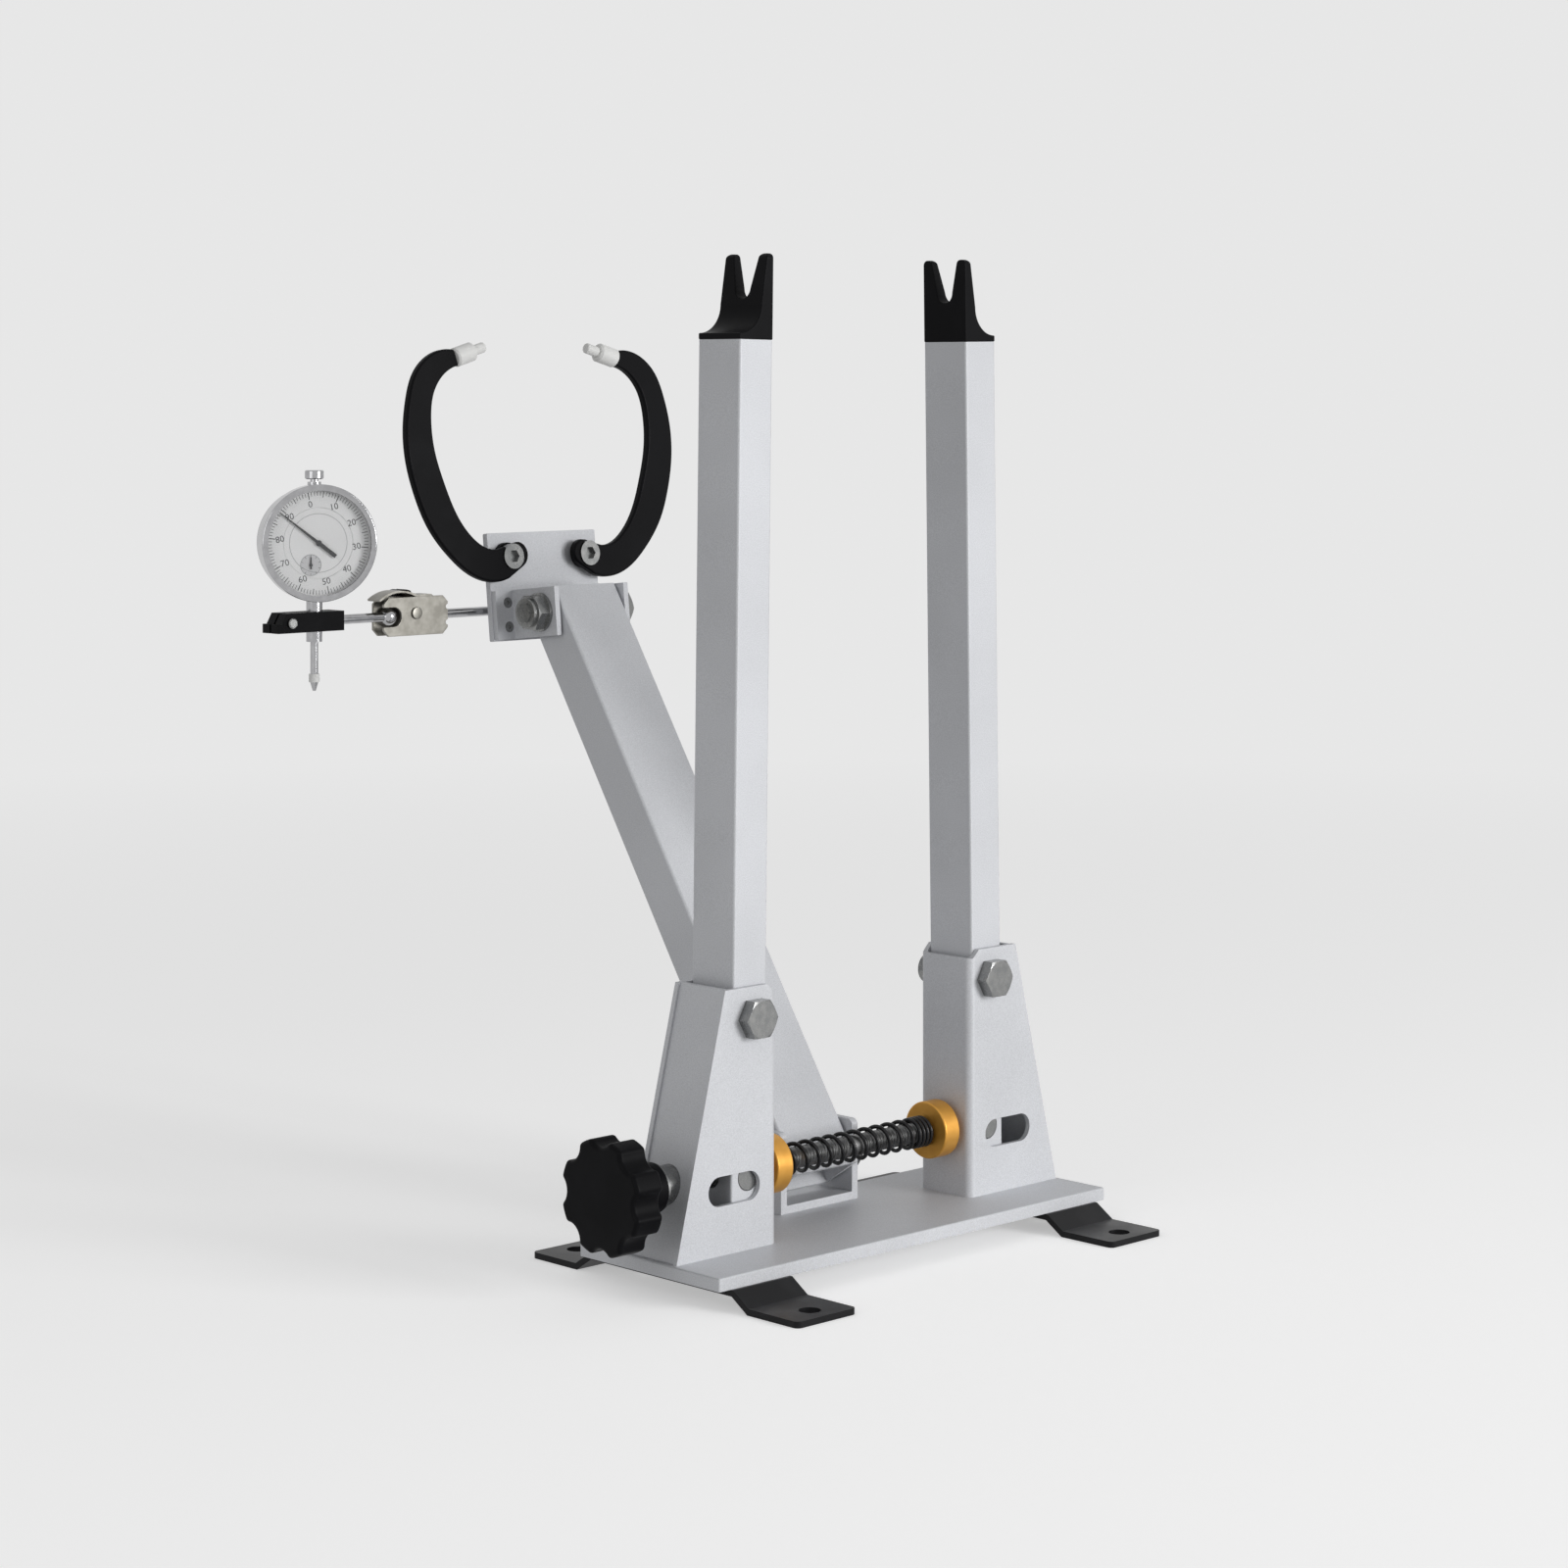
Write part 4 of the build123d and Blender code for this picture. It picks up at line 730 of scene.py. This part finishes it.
@dataclass
class DriveScrew:
    """The threaded rod, with a thread of each hand.

    Attributes:
        shop: Where the piece is made.
        crest: Outer radius in millimetres.
        root: Radius at the bottom of the thread.
        pitch: Distance between turns.
        steps: Divisions of a turn.
        plain: Half length of the unthreaded middle.
        groove_shares: Shares of the pitch where the thread leaves its root, meets its crest, leaves it
            and is back at the root.
        play: How far the plain stretches lie under the crest.
        rim: Rounding of the ends.
        sharp: Edges that turn more than this are rounded, in radians.
        weld: Points closer than this are one.
    """

    shop: Workshop
    crest: float = 5.0
    root: float = 4.15
    pitch: float = 1.5
    steps: int = 24
    plain: float = 3.0
    groove_shares: tuple[float, float, float, float] = (0.12, 0.45, 0.60, 1.0)
    play: float = 0.02
    rim: float = 0.4
    sharp: float = 1.0
    weld: float = 0.01

    def build(self) -> None:
        """Replaces the plain rod with a threaded one."""
        low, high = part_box("threaded_rod")
        level = (low.z + high.z) / 2
        shape = bmesh.new()
        self.thread(shape, level, mm(self.plain), high.x, 1)
        self.thread(shape, level, -mm(self.plain), low.x, -1)
        self.bar(shape, level, -mm(self.plain + self.pitch), mm(self.plain + self.pitch))
        rod = self.shop.piece("threaded_rod_cut", shape, Slot.ROD)
        self.shop.stand_in(rod, "threaded_rod")

    def thread(self, shape: bmesh.types.BMesh, level: float, start: float, end: float, way: int) -> None:
        """Spins one groove profile into a thread.

        Args:
            shape: Mesh that the thread is added to.
            level: Height of the rod's axis in metres.
            start: X where the thread starts.
            end: X where the rod ends.
            way: 1 for a thread that runs to the right, -1 to the left.
        """
        pitch = mm(self.pitch) * way
        turns = int(abs(end - start) / mm(self.pitch)) - 1
        shares = (0.0, *self.groove_shares)
        radii = (self.root, self.root, self.crest, self.crest, self.root)
        points = [
            shape.verts.new((start + share * pitch, 0.0, level + mm(radius)))
            for share, radius in zip(shares, radii)
        ]
        edges = [shape.edges.new(pair) for pair in zip(points[:-1], points[1:])]
        bmesh.ops.spin(
            shape, geom=points + edges, cent=(0, 0, level), axis=(1, 0, 0), angle=FULL_TURN * turns,
            dvec=(pitch / self.steps, 0, 0), steps=self.steps * turns, use_merge=False,
        )
        bmesh.ops.remove_doubles(shape, verts=shape.verts, dist=mm(self.weld))
        self.bar(shape, level, end - way * mm(2 * self.pitch), end)

    def bar(self, shape: bmesh.types.BMesh, level: float, start: float, end: float) -> None:
        """Plain round stretch with broken ends between two values of X."""
        turn = Matrix.Rotation(math.pi / 2, 4, "Y")
        place = Matrix.Translation(((start + end) / 2, 0, level)) @ turn
        radius = mm(self.crest) - mm(self.play)
        made = bmesh.ops.create_cone(
            shape, cap_ends=True, segments=2 * self.steps, radius1=radius, radius2=radius,
            depth=abs(end - start), matrix=place,
        )
        rims = {edge for vertex in made["verts"] for edge in vertex.link_edges}
        round_edges(shape, (edge for edge in rims if edge.calc_face_angle(0) > self.sharp), self.rim)


@dataclass
class CoilSpring:
    """Black compression spring in two halves, each pressed by its own collar.

    Attributes:
        shop: Where the pieces are made.
        wire: Wire radius in millimetres.
        coil: Radius of the coil's middle line.
        closed_left: Closed turns on the left.
        open_turns: Open turns.
        closed_right: Close-wound turns on the right.
        close_pitch: Pitch of the closed turns.
        steps: Divisions of a turn.
        facets: Sides of the wire's section.
    """

    shop: Workshop
    wire: float = 1.0
    coil: float = 6.6
    closed_left: int = 1
    open_turns: int = 11
    closed_right: int = 4
    close_pitch: float = 2.6
    steps: int = 36
    facets: int = 12

    def build(self) -> None:
        """Winds the wire and cuts it into the two halves."""
        low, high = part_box("compression_spring")
        level = mm(SCREW_LEVEL)
        start = low.x + mm(self.wire)
        length = high.x - low.x - 2 * mm(self.wire)
        halves = (
            ("spring_left", (0.0, 1.0), "left_traveller", low.x),
            ("spring_right", (-1.0, 0.0), "right_traveller", high.x),
        )
        for name, side, collar, end_x in halves:
            shape = self.wound(start, length, level)
            keep_left = side[1] > 0
            bmesh.ops.bisect_plane(
                shape, geom=shape.verts[:] + shape.edges[:] + shape.faces[:], plane_co=(0, 0, 0),
                plane_no=(1, 0, 0), clear_outer=keep_left, clear_inner=not keep_left,
            )
            half = self.shop.piece(name, shape, Slot.SPRING)
            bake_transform(half)
            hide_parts("compression_spring")
            log.info("%s bends between base and %s", name, collar)

    def wound(self, start: float, length: float, level: float) -> bmesh.types.BMesh:
        """The whole wire, spun turn by turn from a round section.

        Args:
            start: X of the wire's middle at its left end, in metres.
            length: Length of the coil between the wire's middles.
            level: Height of the coil's axis.

        Returns:
            The closed wire.
        """
        close = mm(self.close_pitch)
        closed = (self.closed_left + self.closed_right) * close
        wide = (length - closed) / self.open_turns
        shape = bmesh.new()
        section = bmesh.ops.create_circle(
            shape, cap_ends=False, segments=self.facets, radius=mm(self.wire),
            matrix=Matrix.Translation((start, mm(self.coil), level)),
        )
        ring = section["verts"]
        stretches = ((self.closed_left, close), (self.open_turns, wide), (self.closed_right, close))
        for turns, pitch in stretches:
            edges = {
                edge for vertex in ring for edge in vertex.link_edges if edge.other_vert(vertex) in ring
            }
            spun = bmesh.ops.spin(
                shape, geom=[*ring, *edges], cent=(0, 0, level), axis=(1, 0, 0),
                angle=FULL_TURN * turns, dvec=(pitch / self.steps, 0, 0), steps=self.steps * turns,
                use_merge=False,
            )
            ring = [item for item in spun["geom_last"] if isinstance(item, bmesh.types.BMVert)]
        open_ends = [edge for edge in shape.edges if edge.is_boundary]
        bmesh.ops.holes_fill(shape, edges=open_ends, sides=self.facets)
        bmesh.ops.recalc_face_normals(shape, faces=shape.faces)
        return shape


@dataclass
class ScrewEnd:
    """Bright riveted end of the swivel clamp's screw, on the front plate.

    Attributes:
        shop: Where the piece is made.
        radius: Radius of the riveted end in millimetres.
        height: How far it reaches back from its face.
        skin: How much wider it is than the black end that it covers.
        front_skin: How far its face stands in front of the black one.
        rounding: Rounding of its rim.
        facets: Sides of its outline.
    """

    shop: Workshop
    radius: float = 3.0
    height: float = 0.9
    skin: float = 0.03
    front_skin: float = 0.045
    rounding: float = 0.3
    facets: int = 40

    def build(self) -> None:
        """Makes the end and lets it turn with the clamp's knob."""
        low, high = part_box("swivel_knob")
        turn = Matrix.Rotation(math.pi / 2, 4, "X")
        middle = low.y + mm(self.height / 2 - self.front_skin)
        place = Matrix.Translation(((low.x + high.x) / 2, middle, (low.z + high.z) / 2)) @ turn
        shape = bmesh.new()
        wide = mm(self.radius + self.skin)
        bmesh.ops.create_cone(
            shape, cap_ends=True, segments=self.facets, radius1=wide, radius2=wide,
            depth=mm(self.height), matrix=place,
        )
        end = min(shape.faces, key=lambda face: face.calc_center_median().y)
        round_edges(shape, end.edges, self.rounding, segments=3)
        piece = self.shop.piece("swivel_screw_end", shape, Slot.NICKEL)
        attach(piece, self.shop.body("swivel_knob"))


@dataclass
class DialPrint:
    """Scale, numbers and small dial printed on the gauge's face.

    Attributes:
        shop: Where the pieces are made.
        ring_face: Height of the turning ring's face over the gauge's middle, in millimetres.
        dial_face: Height of the fixed dial's face.
        ink: Thickness of the print.
        zero_angle: Where the zero stands, in degrees from the dial's right.
        outer: Outer radius of the scale's marks.
        marks: Number of marks on the scale.
        mark_sizes: For every tenth, every fifth and every mark: its step, its length and its width.
        figures: Number of figures on the scale.
        figure_radius: Distance of the figures from the dial's middle.
        figure_height: Height of a figure.
        font_share: Font size over the height of a figure.
        dial_radius: Radius of the circle on the fixed dial.
        dial_line: Width of that circle's line.
        small_centre: Middle of the small dial, to the right of and above the dial's middle.
        small_radius: Radius of the small dial.
        small_line: Width of the line round it.
        small_mark: Distances of its marks' ends from its edge, inner end first.
        small_width: Width of its marks.
        hoop_facets: Sides of a printed circle.
        disc_facets: Sides of the small dial's field.
    """

    shop: Workshop
    ring_face: float = 8.3
    dial_face: float = 8.2
    ink: float = 0.03
    zero_angle: float = 102.0
    outer: float = 25.4
    marks: int = 100
    mark_sizes: tuple[tuple[int, float, float], ...] = ((10, 3.6, 0.42), (5, 2.9, 0.34), (1, 2.1, 0.25))
    figures: int = 10
    figure_radius: float = 19.4
    figure_height: float = 3.3
    font_share: float = 1.35
    dial_radius: float = 14.6
    dial_line: float = 0.24
    small_centre: Pair = (-3.8, -10.8)
    small_radius: float = 5.3
    small_line: float = 0.30
    small_mark: Pair = (1.3, 0.3)
    small_width: float = 0.2
    hoop_facets: int = 96
    disc_facets: int = 64

    def build(self) -> None:
        """Prints the turning ring and the fixed dial."""
        self.lay(self.scale(), "scale_marks", INK, "bezel")
        self.lay(self.numbers(), "scale_numbers", INK, "bezel")
        fixed = bmesh.new()
        self.hoop(fixed, (0, 0), self.dial_radius, self.dial_line)
        self.hoop(fixed, self.small_centre, self.small_radius, self.small_line)
        self.lay(fixed, "dial_rings", GREY_INK, "gauge")
        small = bmesh.new()
        inner, outer = (self.small_radius - inset for inset in self.small_mark)
        for mark in range(self.figures):
            angle = 90 - mark * 360 / self.figures
            self.stroke(small, self.small_centre, (inner, outer), angle, self.small_width, self.dial_face)
        self.lay(small, "small_dial_marks", INK, "gauge")
        tint = bmesh.new()
        self.patch(tint, self.small_centre, self.small_radius)
        self.lay(tint, "small_dial_field", PALE_INK, "gauge")

    def scale(self) -> bmesh.types.BMesh:
        """Marks round the turning ring, clockwise from the zero."""
        shape = bmesh.new()
        step = 360 / self.marks
        for mark in range(self.marks):
            long, wide = next(
                (length, width) for every, length, width in self.mark_sizes if mark % every == 0
            )
            ends = (self.outer - long, self.outer)
            self.stroke(shape, (0, 0), ends, self.zero_angle - mark * step, wide, self.ring_face)
        return shape

    def numbers(self) -> bmesh.types.BMesh:
        """Figures round the turning ring."""
        shape = bmesh.new()
        for count in range(self.figures):
            words = str(count * self.marks // self.figures)
            self.number(shape, words, self.zero_angle - count * 360 / self.figures)
        return shape

    def face(self) -> Matrix:
        """Turn and shift from the dial's own coordinates to the gauge: right, up and outwards."""
        joint = self.shop.joint("bezel_turn")
        outwards = Vector(joint["axis"]).normalized()
        up = Vector((0, 0, 1))
        right = up.cross(outwards).normalized()
        return Matrix.Translation(joint["pos_m"]) @ Matrix((right, up, outwards)).transposed().to_4x4()

    def lay(self, shape: bmesh.types.BMesh, name: str, ink: Finish, body: str) -> None:
        """Moves a print from the dial's own coordinates to the gauge and lets it ride."""
        shape.transform(self.face())
        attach(self.shop.piece(name, shape, ink), body)
        log.info("%s printed on %s", name, body)

    def stroke(
        self, shape: bmesh.types.BMesh, centre: Pair, ends: Pair, angle: float, width: float, level: float
    ) -> None:
        """Prints one radial mark.

        Args:
            shape: Mesh that it is added to.
            centre: Point that it points at.
            ends: Distances of its inner and outer end from there.
            angle: Its direction, in degrees from the dial's right.
            width: Its width.
            level: Height of the face that it is printed on.
        """
        inner, outer = ends
        size = Matrix.Diagonal((mm(outer - inner), mm(width), mm(self.ink), 1.0))
        shift = Matrix.Translation((mm((outer + inner) / 2), 0, 0))
        turn = Matrix.Rotation(math.radians(angle), 4, "Z")
        place = Matrix.Translation(mm(centre[0], centre[1], level + self.ink / 2))
        bmesh.ops.create_cube(shape, size=1.0, matrix=place @ turn @ shift @ size)

    def hoop(self, shape: bmesh.types.BMesh, centre: Pair, radius: float, width: float) -> None:
        """Prints a circle's line on the fixed dial."""
        place = Matrix.Translation(mm(*centre, self.dial_face + self.ink))
        outline = bmesh.ops.create_circle(
            shape, segments=self.hoop_facets, radius=mm(radius), matrix=place, cap_ends=True
        )
        face = {found for vertex in outline["verts"] for found in vertex.link_faces}
        bmesh.ops.inset_region(
            shape, faces=list(face), thickness=mm(width), use_boundary=True, use_even_offset=True
        )
        bmesh.ops.delete(shape, geom=list(face), context="FACES_ONLY")

    def patch(self, shape: bmesh.types.BMesh, centre: Pair, radius: float) -> None:
        """Prints a filled disc on the fixed dial, under the other prints."""
        place = Matrix.Translation(mm(*centre, self.dial_face + self.ink / 3))
        bmesh.ops.create_circle(
            shape, segments=self.disc_facets, radius=mm(radius), matrix=place, cap_ends=True
        )

    def number(self, shape: bmesh.types.BMesh, words: str, angle: float) -> None:
        """Prints a number, upright when the zero is on top, at its angle on the scale."""
        curve = bpy.data.curves.new("number", "FONT")
        curve.body = words
        curve.size = mm(self.figure_height) * self.font_share
        curve.align_x = "CENTER"
        curve.align_y = "CENTER"
        curve.extrude = mm(self.ink) / 2
        curve.resolution_u = 3
        text = bpy.data.objects.new("number", curve)
        bpy.context.scene.collection.objects.link(text)
        bpy.context.view_layer.update()
        mesh = bpy.data.meshes.new_from_object(text)
        turn = math.radians(angle)
        lean = Matrix.Rotation(math.radians(self.zero_angle - 90), 4, "Z")
        across, up = self.figure_radius * math.cos(turn), self.figure_radius * math.sin(turn)
        place = Matrix.Translation(mm(across, up, self.ring_face + self.ink / 2))
        mesh.transform(place @ lean)
        shape.from_mesh(mesh)
        bpy.data.objects.remove(text)
        bpy.data.curves.remove(curve)
        bpy.data.meshes.remove(mesh)


@dataclass
class Studio:
    """Camera, pale floor and soft lights.

    Attributes:
        shop: Where the floor's material is made.
        camera_place: Camera's place in metres.
        camera_turn: Its turn from +Y towards +X, in degrees.
        lens: Focal length for a 36 mm frame.
        shift: How far the frame is lowered, as a share of its width.
        pale: Colour of the floor and the background.
        soft_light: Strength of the even light from all sides.
        floor_size: Half width of the floor in metres.
        aim: Point that the lamps shine on, in metres.
        lamp_rows: Name, place in metres, power in watts and width in metres of each lamp.
    """

    shop: Workshop
    camera_place: Place = (-1.224041, -1.212707, 0.414173)
    camera_turn: float = 44.207
    lens: float = 83.04
    shift: float = -0.25947
    pale: float = 0.80
    soft_light: float = 0.30
    floor_size: float = 30.0
    aim: Place = (0, 0.05, 0.2)
    lamp_rows: tuple[tuple[str, Place, float, float], ...] = (
        ("key", (1.0, -2.9, 0.75), 66.0, 1.3),
        ("fill", (-2.6, -0.3, 1.0), 10.0, 1.6),
    )

    def build(self) -> None:
        """Sets the camera, the floor, the lamps and the world."""
        self.camera()
        self.floor()
        self.lamps()
        self.world()

    def camera(self) -> None:
        """Level camera at the photograph's viewing angle."""
        data = bpy.data.cameras.new("camera")
        data.sensor_width = 36.0
        data.lens = self.lens
        data.shift_y = self.shift
        data.clip_end = 50.0
        camera = bpy.data.objects.new("camera", data)
        camera.location = self.camera_place
        camera.rotation_euler = (math.pi / 2, 0.0, -math.radians(self.camera_turn))
        bpy.context.scene.collection.objects.link(camera)
        bpy.context.scene.camera = camera

    def floor(self) -> None:
        """Large pale floor that the feet stand on."""
        shape = bmesh.new()
        bmesh.ops.create_grid(shape, x_segments=2, y_segments=2, size=self.floor_size)
        paint = PaleFloor("pale_floor", (self.pale,) * 3, 1.0, gloss=0.0)
        self.shop.piece("floor", shape, paint)

    def lamps(self) -> None:
        """Low soft key from the front right and a weak fill from the left."""
        for name, place, power, size in self.lamp_rows:
            data = bpy.data.lights.new(name, "AREA")
            data.shape = "SQUARE"
            data.size = size
            data.energy = power
            lamp = bpy.data.objects.new(name, data)
            lamp.location = place
            beam = Vector(self.aim) - Vector(place)
            lamp.rotation_euler = beam.to_track_quat("-Z", "Y").to_euler()
            bpy.context.scene.collection.objects.link(lamp)

    def world(self) -> None:
        """Even soft light, with a pale background where the camera or a reflection sees it."""
        world = bpy.data.worlds.new("studio")
        bpy.context.scene.world = world
        graph = Graph(world, "ShaderNodeBackground", "ShaderNodeOutputWorld")
        ends = {"Value": graph.shown(), "To Min": self.soft_light, "To Max": self.pale}
        graph.feed(graph.shader.inputs["Color"], Graph.colour(WHITE))
        graph.feed(graph.shader.inputs["Strength"], graph.signal("ShaderNodeMapRange", None, ends))
        bpy.context.scene.view_settings.view_transform = "Standard"


def clear_scene() -> None:
    """Removes the startup objects."""
    for item in list(bpy.data.objects):
        bpy.data.objects.remove(item)


def main() -> None:
    """Builds the stand's fine pieces and the studio."""
    logging.basicConfig(level=logging.INFO, format="%(name)s: %(message)s")
    clear_scene()
    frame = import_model()
    shop = Workshop(frame)
    Studio(shop).build()
    shop.dress_nodes()
    SoftEdges(shop).build()
    DriveScrew(shop).build()
    CoilSpring(shop).build()
    ScrewEnd(shop).build()
    DialPrint(shop).build()


if __name__ == "__main__":
    main()
